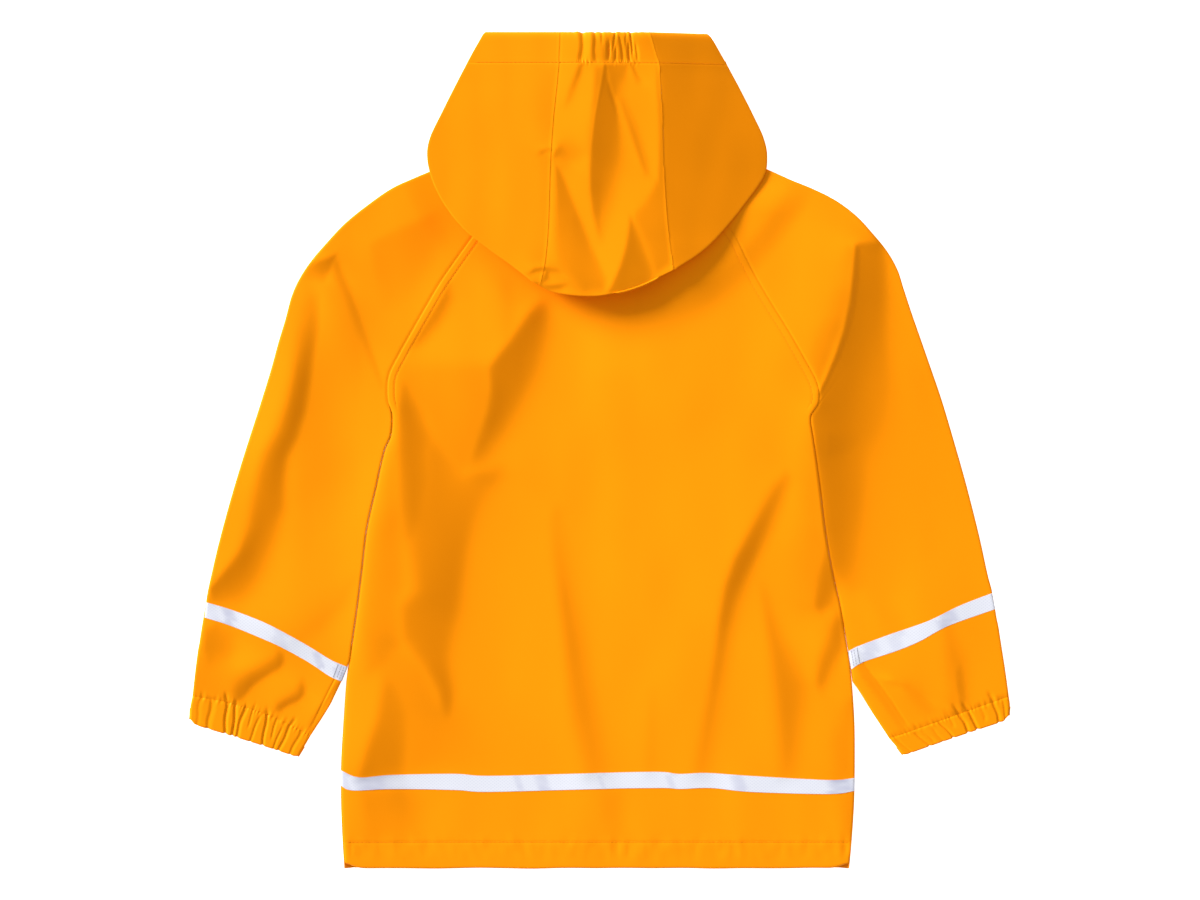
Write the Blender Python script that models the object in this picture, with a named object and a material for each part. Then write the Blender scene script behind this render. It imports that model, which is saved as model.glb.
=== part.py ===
"""Child's hooded rain jacket, laid flat on its front with the back up.

Metres, +Z up. +Y runs from the hem to the hood, +X to the right of the back view, and the floor is
at z = 0. Each cut piece is a thin wall: its outer surface is a grid of sections, and the wall is
grown inward from it. Tables are in millimetres, one row for each section or fold.
"""
import math

import bpy
from mathutils import Vector

MM = 0.001

# Cloth, in metres.
CLOTH = 1.2 * MM            # coated cloth
HEM_CLOTH = 1.9 * MM        # turned hem, two layers
CUFF_CLOTH = 2.0 * MM       # two layers round an elastic
TAPE = 1.0 * MM             # reflective tape
SEAM_GAP = 0.3 * MM         # between pieces that are sewn together
TAPE_SINK = TAPE + SEAM_GAP # how far cloth gives way under a tape
EDGE_CLEARANCE = 0.5 * MM   # between a sleeve and the side of the body
HALF_CLOSED = 0.5           # how far a sleeve's inner edge is folded just above the armpit

# Heights above the floor, in metres.
FLAT_TOP = 6.2 * MM         # upper surface of the upper cloth where nothing lifts it
LIP = 0.5 * FLAT_TOP        # side seams run at half that height
NAPE_LOW = FLAT_TOP + 0.5 * MM   # underside of the hood where it lies on the back
EDGE_ROUND = 3.6 * MM       # how far in from a folded edge the upper cloth is level again
HOOD_ROUND = 9.0 * MM       # the same on the hood's softer fold

# Columns across a panel, besides those of its rounded edges.
BACK_COLUMNS = 18
FRONT_COLUMNS = 2
SLEEVE_COLUMNS = 8
SLEEVE_UNDER_COLUMNS = 3
SIDE_HOOD_COLUMNS = 6
CENTRE_HOOD_COLUMNS = 10
ROUND_STEPS = (0.0, 0.1, 0.42)   # shares of the rounding's width, from the edge inward

# Sections across the body, neck to hem, with the seam or folded edge on each side. `bow` is how
# far the section's middle lies above the straight line between its ends.
BODY_SECTIONS = (
    # name            x_left  y_left  x_right y_right  bow
    ("neck",           -63.0,  246.5,   63.0,  248.2,  -7.5),
    ("raglan 1",       -77.3,  220.5,   76.4,  224.7,  -5.0),
    ("raglan 2",       -92.4,  199.5,   93.2,  202.9,  -2.0),
    ("raglan 3",      -107.5,  179.3,  111.7,  181.9,   0.0),
    ("raglan 4",      -121.8,  159.2,  121.8,  162.5,   0.0),
    ("raglan 5",      -134.4,  140.7,  131.9,  143.2,   0.0),
    ("raglan 6",      -146.2,  120.5,  143.6,  123.1,   0.0),
    ("raglan 7",      -157.1,  101.2,  157.1,  101.2,   0.0),
    ("raglan 8",      -168.8,   80.2,  170.5,   77.7,   0.0),
    ("raglan 9",      -177.2,   62.6,  181.4,   56.7,   0.0),
    ("raglan 10",     -178.1,   44.1,  183.1,   40.7,   0.0),
    ("armpit",        -174.7,   29.8,  176.4,   28.1,   0.0),
    ("side 1",        -175.6,   13.0,  178.1,   12.2,   0.0),
    ("side 2",        -181.4,   -2.1,  180.6,   -3.8,   0.0),
    ("side 3",        -188.2,  -32.3,  184.8,  -33.2,   0.0),
    ("side 4",        -195.7,  -65.9,  189.0,  -66.8,   0.0),
    ("side 5",        -199.9, -101.2,  194.9, -100.4,   0.0),
    ("side 6",        -204.1, -134.0,  200.8, -125.6,   0.0),
    ("side 7",        -207.1, -161.7,  205.0, -149.1,   0.0),
    ("side 8",        -209.6, -181.9,  207.9, -168.4,   0.0),
    ("side 9",        -211.3, -193.6,  210.4, -183.5,   0.0),
    ("side 10",       -212.9, -213.8,  212.1, -207.1,   0.0),
    ("side 11",       -215.5, -241.5,  212.5, -240.7,   0.0),
    ("tape above",    -216.6, -267.1,  212.8, -272.1,   1.5),
    ("tape top",      -216.7, -270.1,  212.9, -275.1,   1.5),
    ("tape bottom",   -216.7, -282.2,  212.9, -287.3,   1.0),
    ("tape below",    -216.6, -285.2,  212.8, -290.3,   1.0),
    ("hem stitch",    -215.5, -328.9,  210.0, -328.9,   0.0),
    ("hem",           -214.2, -350.7,  208.3, -350.7,   0.0),
)
FRONT_NECK_Y = 193.0
FRONT_NECK_BOW = -10.0

# Outer edge of each sleeve, opposite the body section of the same number.
SLEEVE_LEFT_OUTER = (
    # x        y        bow
    (-84.0,   256.6,   0.0),
    (-110.9,  247.9,   0.0),
    (-134.4,  238.1,   0.0),
    (-156.2,  228.9,   0.0),
    (-175.6,  219.7,   0.0),
    (-194.9,  206.2,   0.0),
    (-213.4,  191.1,   0.0),
    (-228.5,  175.1,   0.0),
    (-241.9,  159.2,   0.0),
    (-252.0,  144.1,   0.0),
    (-258.7,  128.9,   0.0),
    (-263.8,  109.6,   0.0),
    (-269.6,   90.3,   0.0),
    (-275.5,   68.5,   1.0),
    (-284.8,   38.2,   2.0),
    (-295.7,    4.6,   3.0),
    (-307.4,  -33.2,   4.0),
    (-318.6,  -73.5,   5.0),
    (-326.0, -104.6,   5.0),
)
SLEEVE_RIGHT_OUTER = (
    # x        y        bow
    (84.0,    258.3,   0.0),
    (111.7,   248.6,   0.0),
    (136.1,   238.1,   0.0),
    (159.6,   227.2,   0.0),
    (178.9,   219.2,   0.0),
    (198.2,   209.2,   0.0),
    (215.0,   196.1,   0.0),
    (228.5,   181.0,   0.0),
    (240.2,   166.7,   0.0),
    (248.6,   151.6,   0.0),
    (253.7,   135.7,   0.0),
    (259.6,   117.2,   0.0),
    (266.3,    97.0,   0.0),
    (273.8,    75.2,   0.0),
    (284.8,    43.3,   0.0),
    (295.7,     8.0,   0.0),
    (306.6,   -29.8,   0.0),
    (317.5,   -71.8,   1.0),
    (325.1,  -104.6,   2.0),
)
# The rest of each sleeve, tape to cuff, with its own inner edge, and then the cuff.
SLEEVE_LEFT_ENDS = (
    # name           x_inner  y_inner  x_outer  y_outer  bow
    ("tape top",      -211.4, -181.0,  -330.8, -127.2,   5.0),
    ("tape bottom",   -215.9, -194.0,  -332.6, -140.0,   5.0),
    ("below tape",    -224.3, -206.6,  -336.4, -161.7,   5.0),
    ("forearm",       -232.7, -220.5,  -339.4, -183.0,   5.5),
    ("cuff seam",     -244.9, -238.6,  -342.3, -206.2,   5.5),
)
SLEEVE_RIGHT_ENDS = (
    ("tape top",       209.8, -168.4,   329.9, -119.7,   2.0),
    ("tape bottom",    212.6, -184.4,   333.0, -133.1,   2.0),
    ("below tape",     218.4, -202.0,   336.4, -157.9,   1.5),
    ("forearm",        230.2, -219.7,   340.2, -181.9,   1.0),
    ("cuff seam",      244.4, -241.1,   343.6, -206.2,   0.0),
)
CUFF_LEFT_SECTIONS = (
    ("seam",          -245.1, -239.1,  -342.4, -206.7,   5.5),
    ("middle",        -249.8, -247.8,  -344.3, -217.0,   3.5),
    ("edge",          -255.0, -256.8,  -345.1, -227.6,   0.5),
)
CUFF_RIGHT_SECTIONS = (
    ("seam",           244.6, -241.6,   343.7, -206.7,   0.0),
    ("middle",         250.0, -248.6,   345.0, -216.0,   0.5),
    ("edge",           254.9, -255.0,   344.6, -223.9,   0.5),
)
CUFF_GATHERS = 11
CUFF_GATHER_STEPS = 4       # columns in one gather
CUFF_GATHER_HEIGHT = 1.6 * MM
CUFF_TOP = FLAT_TOP - 0.4 * MM

# Hood. The stations run down its two long seams, with the outer edge opposite each. Past the last
# wing station the side panels lie on the shoulders and the back. `bow` is the centre panel's.
HOOD_STATIONS = (
    # left edge        left seam        right seam       right edge       bow
    (-110.0, 325.5,   -34.4, 325.5,    49.6, 325.5,    110.5, 325.5,     0.0),
    (-121.0, 304.0,   -36.1, 303.7,    51.2, 303.7,    122.0, 304.0,     0.0),
    (-132.0, 282.0,   -38.6, 281.8,    52.0, 281.8,    133.0, 282.0,     0.0),
    (-142.0, 260.8,   -40.3, 260.8,    53.0, 260.8,    140.0, 262.0,     0.0),
    (-144.3, 245.0,   -41.2, 244.0,    53.5, 244.0,    140.5, 246.0,     0.0),
    (-140.5, 227.0,   -42.0, 227.2,    53.8, 227.2,    137.5, 230.0,     0.0),
    (-130.5, 206.2,   -42.4, 206.2,    55.0, 206.2,    121.0, 206.0,    -3.0),
    (-114.0, 185.2,   -43.3, 185.2,    56.8, 185.2,    103.0, 184.0,    -7.7),
    (-94.0,  169.0,   -44.6, 168.4,    59.0, 172.0,     90.0, 170.5,   -13.5),
    (-76.0,  156.0,   -46.5, 153.3,    60.2, 160.0,     78.0, 161.2,   -16.5),
    (-64.0,  146.8,   -48.4, 145.5,    60.9, 155.0,     71.0, 156.8,   -17.0),
    (-55.5,  140.2,   -49.3, 140.3,    61.3, 152.4,     66.0, 153.6,   -15.8),
)
LAST_WING_STATION = 4
# Lower edge of the centre panel, from the left seam's end to the right one's.
HOOD_CROWN = ((-52.5, 138.4), (-39.5, 132.4), (-17.6, 129.1), (3.4, 129.8), (31.1, 136.6),
              (62.6, 151.2))
NAPE_SEAM_X = 38.0          # where the hood's long seams meet the back of the neck
NAPE_Y = 240.5
# Free edge of a side panel on the underside, from the casing to the front of the neck, and the ways
# its underside takes outside the shoulder and over it. Here x is measured outward.
FACE_EDGE = ((79.0, 325.5), (66.0, 292.0), (38.0, 240.0), (16.5, 194.5))
WING_BY_SHOULDER = ((134.0, 241.0), (110.6, 250.0), (84.2, 259.8))
NAPE_OVER_SHOULDER = ((118.0, 236.0), (88.0, 248.0), (63.0, 244.0))
WING_NECK_POINTS = (0, 3, 4, 5)      # points of the front neck's edge that the wing follows
UNDER_HOOD_COLUMNS = 7
NECK_CLEARANCE = 0.6 * MM

# Height of the hood's crest above the floor and the half width over which it falls off.
HOOD_CREST = (
    # y       height  half width
    (352.0,   6.8,     98.0),
    (326.0,   8.4,    112.0),
    (290.0,  14.0,    130.0),
    (250.0,  19.0,    146.0),
    (205.0,  23.0,    146.0),
    (160.0,  25.0,    146.0),
    (128.0,  25.0,    146.0),
)
HOOD_SIDES = (
    # y       height
    (352.0,   6.4),
    (300.0,   7.4),
    (262.0,  10.4),
    (128.0,  10.4),
)
HOOD_MIDDLE_X = -1.0 * MM
SEAM_SHARE = 0.35           # how far a side panel keeps from the long seam's line, in millimetres
CASING_SECTIONS = (
    # y       x_left   x_right
    (326.3,  -109.6,   110.1),
    (334.5,  -105.5,   105.0),
    (344.0,  -100.0,    97.5),
    (350.7,   -96.6,    91.6),
)
CASING_CLOTH = 2.0 * MM
CASING_COLUMNS = 30
CASING_UNDER = 18.0 * MM    # how far the casing turns under at each end
CASING_GATHERS = 8
CASING_GATHERED = (-28.0, 34.0)
CASING_GATHER_HEIGHT = 1.6 * MM

# Folds pressed into the upper cloth: a line of points, the height on it, how wide it fades to the
# left and right of the line's direction, and the share of its length that fades at each end.
FOLDS = (
    # name                 points                                          height left right start end
    ("left edge roll",     ((-176, 16), (-188, -40), (-197, -110), (-205, -200), (-209, -330)),
     3.0, 20, 12, .15, .10),
    ("right edge roll",    ((179, 10), (182, -60), (195, -150), (203, -330)),
     2.4, 12, 16, .15, .10),
    ("back left swell",    ((-112, 140), (-100, 95), (-92, 60)), 4.0, 26, 16, .40, .45),
    ("long shoulder fold", ((-42, 124), (-80, 78), (-90, 10), (-92, -60)), 7.0, 36, 20, .12, .35),
    ("waist ridge left",   ((-128, 30), (-126, -60), (-118, -130), (-108, -200)), 5.0, 18, 26, .20, .40),
    ("middle swell",       ((0, 60), (-10, -60), (-6, -160)), 4.5, 46, 42, .40, .45),
    ("long hem fold",      ((-84, -44), (-104, -110), (-96, -190), (-86, -262)), 5.0, 26, 12, .25, .20),
    ("centre hem fold",    ((-44, -60), (-40, -130), (-26, -210), (-12, -300)), 4.0, 14, 22, .25, .15),
    ("right swell",        ((112, 60), (106, -60), (84, -160), (66, -260)), 6.0, 18, 34, .30, .25),
    ("right hem fold",     ((134, -120), (146, -200), (158, -300)), 4.5, 16, 24, .25, .15),
    ("left outer roll",    ((-262, 150), (-276, 60), (-302, -50), (-322, -140)), 3.0, 14, 12, .20, .15),
    ("left shoulder rim",  ((-137, 208), (-165, 188), (-187, 171)), 4.0, 18, 14, .25, .50),
    ("left armpit fold",   ((-216, 152), (-205, 100), (-188, 52)), 5.0, 30, 10, .10, .12),
    ("left sleeve swell",  ((-228, 110), (-240, 20), (-268, -60), (-272, -120)), 6.0, 30, 24, .30, .30),
    ("left elbow swell",   ((-218, -20), (-235, -90), (-242, -150)), 3.5, 16, 20, .35, .35),
    ("left forearm ridge", ((-302, -152), (-318, -180), (-326, -202)), 3.0, 16, 10, .20, .10),
    ("left forearm fold",  ((-262, -176), (-280, -190), (-292, -206)), 3.5, 14, 10, .15, .10),
    ("right outer roll",   ((256, 140), (272, 60), (296, -10), (318, -100)), 2.5, 12, 12, .20, .15),
    ("right armpit fold",  ((216, 170), (211, 100), (196, 60), (186, 34)), 5.0, 10, 30, .10, .12),
    ("right sleeve swell", ((248, 90), (252, 0), (262, -70), (276, -120)), 5.5, 24, 30, .30, .30),
    ("right elbow ridge",  ((218, -112), (226, -140), (230, -168)), 3.5, 16, 10, .20, .20),
    ("right forearm fold", ((300, -172), (304, -196), (300, -208)), 2.8, 10, 14, .20, .10),
    ("right inner fold",   ((240, -196), (268, -212), (284, -222)), 2.6, 10, 10, .20, .10),
)
HOOD_FOLDS = (
    ("centre trough",      ((3, 318), (-2, 260), (2, 190), (4, 145)), -6.0, 16, 14, .12, .30),
    ("centre ridge",       ((30, 300), (34, 250), (18, 190)), 3.0, 12, 12, .25, .35),
    ("left seam ridge",    ((-36, 250), (-30, 215)), 2.0, 10, 8, .25, .40),
)
FOLDS_END_UNDER_HOOD = 9.0 * MM      # how far inside the hood's outline the folds have gone
FOLDS_FADE = 18.0 * MM

# Front closing edge: the right front lies over the left one, held by press studs.
OVERLAP_HALF = 15.0 * MM
OVERLAP_STEP = 3.0 * MM
OVERLAP_RISE = CLOTH + SEAM_GAP
STUD_PLACES_Y = (172.0, 72.0, -28.0, -128.0, -228.0)
STUD_RADIUS = 6.0 * MM
STUD_NECK_RADIUS = 2.6 * MM
STUD_CAP = 1.0 * MM
STUD_SIDES = 12
OVERHANG = 2.0 * MM         # how far a cutter runs past what it cuts

ORANGE = (0.90, 0.36, 0.008, 1.0)
SILVER = (0.78, 0.79, 0.83, 1.0)
STEEL = (0.62, 0.62, 0.60, 1.0)


# ---------------------------------------------------------------- plan geometry

def mm(x, y):
    """A plan point given in millimetres, in metres."""
    return Vector((x * MM, y * MM))


def spline(points, steps):
    """Points on a Catmull-Rom curve through plan points, `steps` to each span."""
    ends = [points[0] * 2 - points[1]] + list(points) + [points[-1] * 2 - points[-2]]
    curve = [points[0].copy()]
    for i in range(1, len(ends) - 2):
        a, b, c, d = ends[i - 1:i + 3]
        for k in range(1, steps + 1):
            t = k / steps
            curve.append(0.5 * (b * 2 + (c - a) * t + (a * 2 - b * 5 + c * 4 - d) * t * t
                                + (b * 3 - a - c * 3 + d) * t ** 3))
    return curve


def at_share(curve, share):
    """The point a share of the way along a polyline, by length."""
    lengths = [0.0]
    for a, b in zip(curve, curve[1:]):
        lengths.append(lengths[-1] + (b - a).length)
    goal = share * lengths[-1]
    for i in range(1, len(curve)):
        if goal <= lengths[i] or i == len(curve) - 1:
            span = lengths[i] - lengths[i - 1]
            return curve[i - 1].lerp(curve[i], (goal - lengths[i - 1]) / span if span else 0.0)


def distance_to(curve, point):
    """Shortest distance from a plan point to a polyline."""
    best = 1.0
    for a, b in zip(curve, curve[1:]):
        span = b - a
        t = max(0.0, min(1.0, (point - a).dot(span) / max(span.length_squared, 1e-12)))
        best = min(best, (a + span * t - point).length)
    return best


def is_inside(outline, point):
    """Whether a plan point lies inside a closed outline."""
    inside = False
    for a, b in zip(outline, outline[1:] + outline[:1]):
        if (a.y > point.y) != (b.y > point.y):
            if point.x < a.x + (b.x - a.x) * (point.y - a.y) / (b.y - a.y):
                inside = not inside
    return inside


def section(start, end, bow, columns, rounded_start=EDGE_ROUND, rounded_end=EDGE_ROUND):
    """Plan points from one end of a section to the other, closer together near its edges."""
    length = (end - start).length
    first, last = rounded_start / length, 1.0 - rounded_end / length
    shares = [s * first for s in ROUND_STEPS] if rounded_start else []
    shares += [first + (last - first) * i / columns for i in range(columns + 1)]
    shares += [1.0 - s * (1.0 - last) for s in reversed(ROUND_STEPS)] if rounded_end else []
    across = (end - start).normalized()
    up = Vector((-across.y, across.x)) * (1 if across.x > 0 else -1)
    return [start.lerp(end, s) + up * bow * MM * 4 * s * (1 - s) for s in shares]


def rounding(distance, width):
    """0 at a folded edge and 1 from `width` inward, along a quarter of an ellipse."""
    if distance >= width:
        return 1.0
    return math.sqrt(max(0.0, 1.0 - (1.0 - distance / width) ** 2))


def ease(t):
    t = max(0.0, min(1.0, t))
    return t * t * (3 - 2 * t)


def prepared(folds):
    """Folds as smooth plan curves, in metres."""
    return [(spline([mm(*p) for p in points], 4), height * MM, left * MM, right * MM, start, end)
            for name, points, height, left, right, start, end in folds]


def fold_height(folds, point):
    """How far the folds lift the cloth at a plan point."""
    total = 0.0
    for curve, height, left, right, start, end in folds:
        spans = len(curve) - 1
        best = None
        for i in range(spans):
            a, b = curve[i], curve[i + 1]
            span = b - a
            t = max(0.0, min(1.0, (point - a).dot(span) / span.length_squared))
            offset = point - (a + span * t)
            if best is None or offset.length < best[0]:
                side = span.x * offset.y - span.y * offset.x
                best = (offset.length, side, (i + t) / spans)
        distance, side, along = best
        width = left if side > 0 else right
        if distance < width:
            fade = ease(along / start) * ease((1 - along) / end)
            total += height * fade * 0.5 * (1 + math.cos(math.pi * distance / width))
    return total


def read_table(table, y, column=1):
    """A value read from a table whose first column runs from high y to low y."""
    for row, below in zip(table, table[1:]):
        if y >= below[0] * MM:
            t = max(0.0, min(1.0, (row[0] * MM - y) / ((row[0] - below[0]) * MM)))
            return (row[column] + (below[column] - row[column]) * t) * MM
    return table[-1][column] * MM


# ---------------------------------------------------------------- solids

def new_object(name, mesh, colour, roughness, metallic=0.0):
    material = bpy.data.materials.new(name + "_finish")
    material.use_nodes = True
    shader = material.node_tree.nodes["Principled BSDF"]
    shader.inputs["Base Color"].default_value = colour
    shader.inputs["Roughness"].default_value = roughness
    shader.inputs["Metallic"].default_value = metallic
    mesh.materials.append(material)
    piece = bpy.data.objects.new(name, mesh)
    bpy.context.scene.collection.objects.link(piece)
    return piece


def wall(name, points, faces, thickness, level=(), colour=ORANGE, roughness=0.5):
    """A closed wall: an outer surface, the same surface moved inward, and a rim between them.

    `thickness` is one number or one for each point, and the points in `level` move only sideways.
    """
    normals = [Vector((0, 0, 0)) for _ in points]
    for face in faces:
        a, b, c, d = (points[i] for i in face)
        normal = (c - a).cross(d - b)
        for i in face:
            normals[i] += normal.normalized()
    for i in level:
        normals[i].z = 0.0
    used = sorted({i for face in faces for i in face})
    number = {old: new for new, old in enumerate(used)}
    count = len(used)
    depth = thickness if isinstance(thickness, list) else [thickness] * len(points)
    inner = [points[i] - normals[i].normalized() * depth[i] for i in used]
    outside = [[number[i] for i in half] for face in faces for half in halves(face)]
    edges = {edge for face in outside for edge in zip(face, face[1:] + face[:1])}
    rim = [[b, a, a + count, b + count] for a, b in sorted(edges) if (b, a) not in edges]
    inside = [[i + count for i in reversed(face)] for face in outside]
    mesh = bpy.data.meshes.new(name)
    mesh.from_pydata([points[i] for i in used] + inner, [], outside + inside + rim)
    piece = new_object(name, mesh, colour, roughness)
    mesh.shade_smooth()
    mesh.set_sharp_from_angle(angle=math.radians(40))
    return piece


def halves(face):
    """A quad cut along the same diagonal on both sides of a wall, so layers stay apart."""
    a, b, c, d = face
    return ((a, b, c), (a, c, d))


def grid_faces(rows, columns, closed=False, skip=()):
    """Quads of a grid stored row by row, seen from outside with rows going down."""
    faces = []
    for r in range(rows - 1):
        for c in range(columns if closed else columns - 1):
            n = (c + 1) % columns
            if (r, c) not in skip:
                faces.append([r * columns + c, (r + 1) * columns + c,
                              (r + 1) * columns + n, r * columns + n])
    return faces


def panel(name, rows, thickness, level=(), flip=False, closed=False, skip=(), **finish):
    """A wall from rows of points. `flip` is for rows that run from right to left."""
    columns = len(rows[0])
    faces = grid_faces(len(rows), columns, closed, skip)
    if flip:
        faces = [face[::-1] for face in faces]
    marked = [r * columns + c % columns for r, c in level]
    depth = thickness
    if isinstance(thickness, list):
        depth = [thickness[r] for r in range(len(rows)) for _ in range(columns)]
    return wall(name, [p for row in rows for p in row], faces, depth, marked, **finish)


# ---------------------------------------------------------------- body

NAMES = [row[0] for row in BODY_SECTIONS]
ARMPIT = NAMES.index("armpit")
TAPE_ROWS = (NAMES.index("tape top"), NAMES.index("tape bottom"))
BODY_EDGE = {-1: [mm(row[1], row[2]) for row in BODY_SECTIONS],
             1: [mm(row[3], row[4]) for row in BODY_SECTIONS]}
HOOD_OUTLINE = ([mm(row[0], row[1]) for row in HOOD_STATIONS]
                + spline([mm(*p) for p in HOOD_CROWN], 3)
                + [mm(row[6], row[7]) for row in reversed(HOOD_STATIONS)])


def cloth_height(folds, point):
    """Height of the outer surface of back and sleeves, away from their edges."""
    distance = distance_to(HOOD_OUTLINE, point)
    if is_inside(HOOD_OUTLINE, point):
        distance = -distance
    fade = ease((distance + FOLDS_END_UNDER_HOOD) / FOLDS_FADE)
    return FLAT_TOP + max(0.0, fold_height(folds, point)) * fade


def is_taped(row):
    return TAPE_ROWS[0] <= row <= TAPE_ROWS[1]


def back_row(folds, row, inset):
    """One section of the back's outer surface, `inset` in from each side, with its outward ways."""
    left, right = BODY_EDGE[-1][row].copy(), BODY_EDGE[1][row].copy()
    left.x += inset
    right.x -= inset
    low = LIP + 0.5 * SEAM_GAP
    line = []
    for p in section(left, right, BODY_SECTIONS[row][5], BACK_COLUMNS):
        top = cloth_height(folds, p)
        distance = min((p - left).length, (p - right).length) if row >= ARMPIT else EDGE_ROUND
        share = rounding(distance, EDGE_ROUND)
        line.append((Vector((*p, low + (top - low) * share)),
                     outward(share, distance, right - left if p.x > 0 else left - right, 1)))
    return line


def outward(share, distance, sideways, upward):
    """Way out of a rounded edge: sideways at the edge, up or down once the cloth is level."""
    level = max(0.0, 1.0 - distance / EDGE_ROUND)
    way = sideways.normalized() * level
    return Vector((way.x, way.y, share * upward))


def moved_out(line, distance):
    return [p + way * distance for p, way in line]


def make_back(folds):
    rows, depth = [], []
    for row, name in enumerate(NAMES):
        inset = TAPE_SINK if is_taped(row) else 0.0 if row >= ARMPIT else SEAM_GAP
        rows.append(back_row(folds, row, inset))
        depth.append(HEM_CLOTH if name in ("hem stitch", "hem") else CLOTH)
    level = [(row, end) for row in range(ARMPIT, len(NAMES)) for end in (0, len(rows[0]) - 1)]
    panel("back_panel", [moved_out(row, 0.0) for row in rows], depth, level)
    tape = [moved_out(rows[row], TAPE_SINK) for row in TAPE_ROWS]
    ends = [(row, end) for row in (0, 1) for end in (0, len(tape[0]) - 1)]
    panel("stripe_back", tape, TAPE, ends, colour=SILVER, roughness=0.35)


def closing_y(row):
    """How far up the closing edge a section of the fronts reaches, the same on both."""
    mean = [0.5 * (BODY_EDGE[-1][r].y + BODY_EDGE[1][r].y) for r in (row, 0)]
    return mean[0] + (FRONT_NECK_Y * MM - mean[1]) * (1 - min(1.0, row / ARMPIT))


def front_row(row, sign, inset, sunk):
    """One section of a front's outer surface, which faces the floor, from side to closing edge."""
    edge = BODY_EDGE[sign][row].copy()
    edge.x -= sign * inset
    neck_share = min(1.0, row / ARMPIT)
    closing = Vector((-sign * OVERLAP_HALF, closing_y(row)))
    bow = FRONT_NECK_BOW * (1 - neck_share) ** 2
    width = abs(closing.x - edge.x)
    slant = (closing - edge).length / width
    overlap = 2 * OVERLAP_HALF
    points = section(edge, closing, bow, FRONT_COLUMNS, EDGE_ROUND, (overlap + OVERLAP_STEP) * slant)
    points = points[:len(ROUND_STEPS) + FRONT_COLUMNS + 1]
    for s in (1.0 - overlap / width, 1.0):
        lean = Vector((0.0, bow * MM * 4 * s * (1 - s)))
        points.append(edge.lerp(closing, s) + lean)
    high, low = LIP - 0.5 * SEAM_GAP, TAPE_SINK if sunk else 0.0
    line = []
    for i, p in enumerate(points):
        share = rounding((p - edge).length, EDGE_ROUND) if row >= ARMPIT else 1.0
        rise = OVERLAP_RISE if sign > 0 and i >= len(points) - 2 else 0.0
        line.append(Vector((*p, high + (low - high) * share + rise)))
    return line


def make_fronts():
    for name, sign in (("left", -1), ("right", 1)):
        rows = []
        for row in range(len(NAMES)):
            inset = TAPE_SINK if is_taped(row) else 0.0 if row >= ARMPIT else SEAM_GAP
            rows.append(front_row(row, sign, inset, is_taped(row)))
        level = [(row, 0) for row in range(ARMPIT, len(NAMES))]
        front = panel("front_panel_" + name, rows, CLOTH, level, flip=sign < 0)
        for place in STUD_PLACES_Y:
            cut_hole(front, STUD_RADIUS if sign < 0 else STUD_NECK_RADIUS, place * MM)
        short = 2 * OVERLAP_HALF + 2 * OVERLAP_STEP if sign > 0 else 0.0
        tape = [front_tape_row(row, sign, short) for row in TAPE_ROWS]
        panel("stripe_front_" + name, tape, TAPE, [(0, 0), (1, 0)], flip=sign < 0,
              colour=SILVER, roughness=0.35)


def front_tape_row(row, sign, short):
    """The tape's outer surface on a front, flush with the floor."""
    edge = BODY_EDGE[sign][row]
    closing = Vector((-sign * (OVERLAP_HALF - short), closing_y(row)))
    line = []
    for p in section(edge, closing, 0.0, FRONT_COLUMNS, EDGE_ROUND, 0.0):
        high = LIP - 0.5 * SEAM_GAP
        line.append(Vector((*p, high - high * rounding((p - edge).length, EDGE_ROUND))))
    return line


def cut_hole(piece, radius, y):
    """Cut a round hole through a front at x = 0."""
    cutter = bpy.data.objects.new(piece.name + "_cutter", disc_stack(
        ((radius + SEAM_GAP, -OVERHANG), (radius + SEAM_GAP, FLAT_TOP - OVERHANG)), y))
    bpy.context.scene.collection.objects.link(cutter)
    cutter.hide_render = True
    cutter.display_type = "WIRE"
    modifier = piece.modifiers.new("stud hole", "BOOLEAN")
    modifier.operation = "DIFFERENCE"
    modifier.object = cutter


def disc_stack(profile, y):
    """A turned solid about a vertical axis at x = 0, from (radius, height) pairs going up."""
    points = []
    for radius, z in profile:
        for k in range(STUD_SIDES):
            angle = 2 * math.pi * k / STUD_SIDES
            points.append((radius * math.cos(angle), y + radius * math.sin(angle), z))
    faces = [list(range(STUD_SIDES))[::-1],
             [len(points) - STUD_SIDES + k for k in range(STUD_SIDES)]]
    for ring in range(len(profile) - 1):
        for k in range(STUD_SIDES):
            n = (k + 1) % STUD_SIDES
            a = ring * STUD_SIDES
            faces.append([a + k, a + n, a + STUD_SIDES + n, a + STUD_SIDES + k])
    mesh = bpy.data.meshes.new("turned")
    mesh.from_pydata(points, [], faces)
    return mesh


def make_studs():
    """Each stud is a cap in the left front, a neck, and a socket above the right front."""
    over = OVERLAP_RISE + CLOTH + SEAM_GAP
    profile = ((STUD_RADIUS, 0.0), (STUD_RADIUS, STUD_CAP), (STUD_NECK_RADIUS, STUD_CAP),
               (STUD_NECK_RADIUS, over), (STUD_RADIUS, over), (STUD_RADIUS, over + STUD_CAP))
    for number, place in enumerate(STUD_PLACES_Y, 1):
        mesh = disc_stack(profile, place * MM)
        new_object("press_stud_%d" % number, mesh, STEEL, 0.3, 1.0)
        mesh.set_sharp_from_angle(angle=math.radians(40))


# ---------------------------------------------------------------- sleeves

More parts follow.
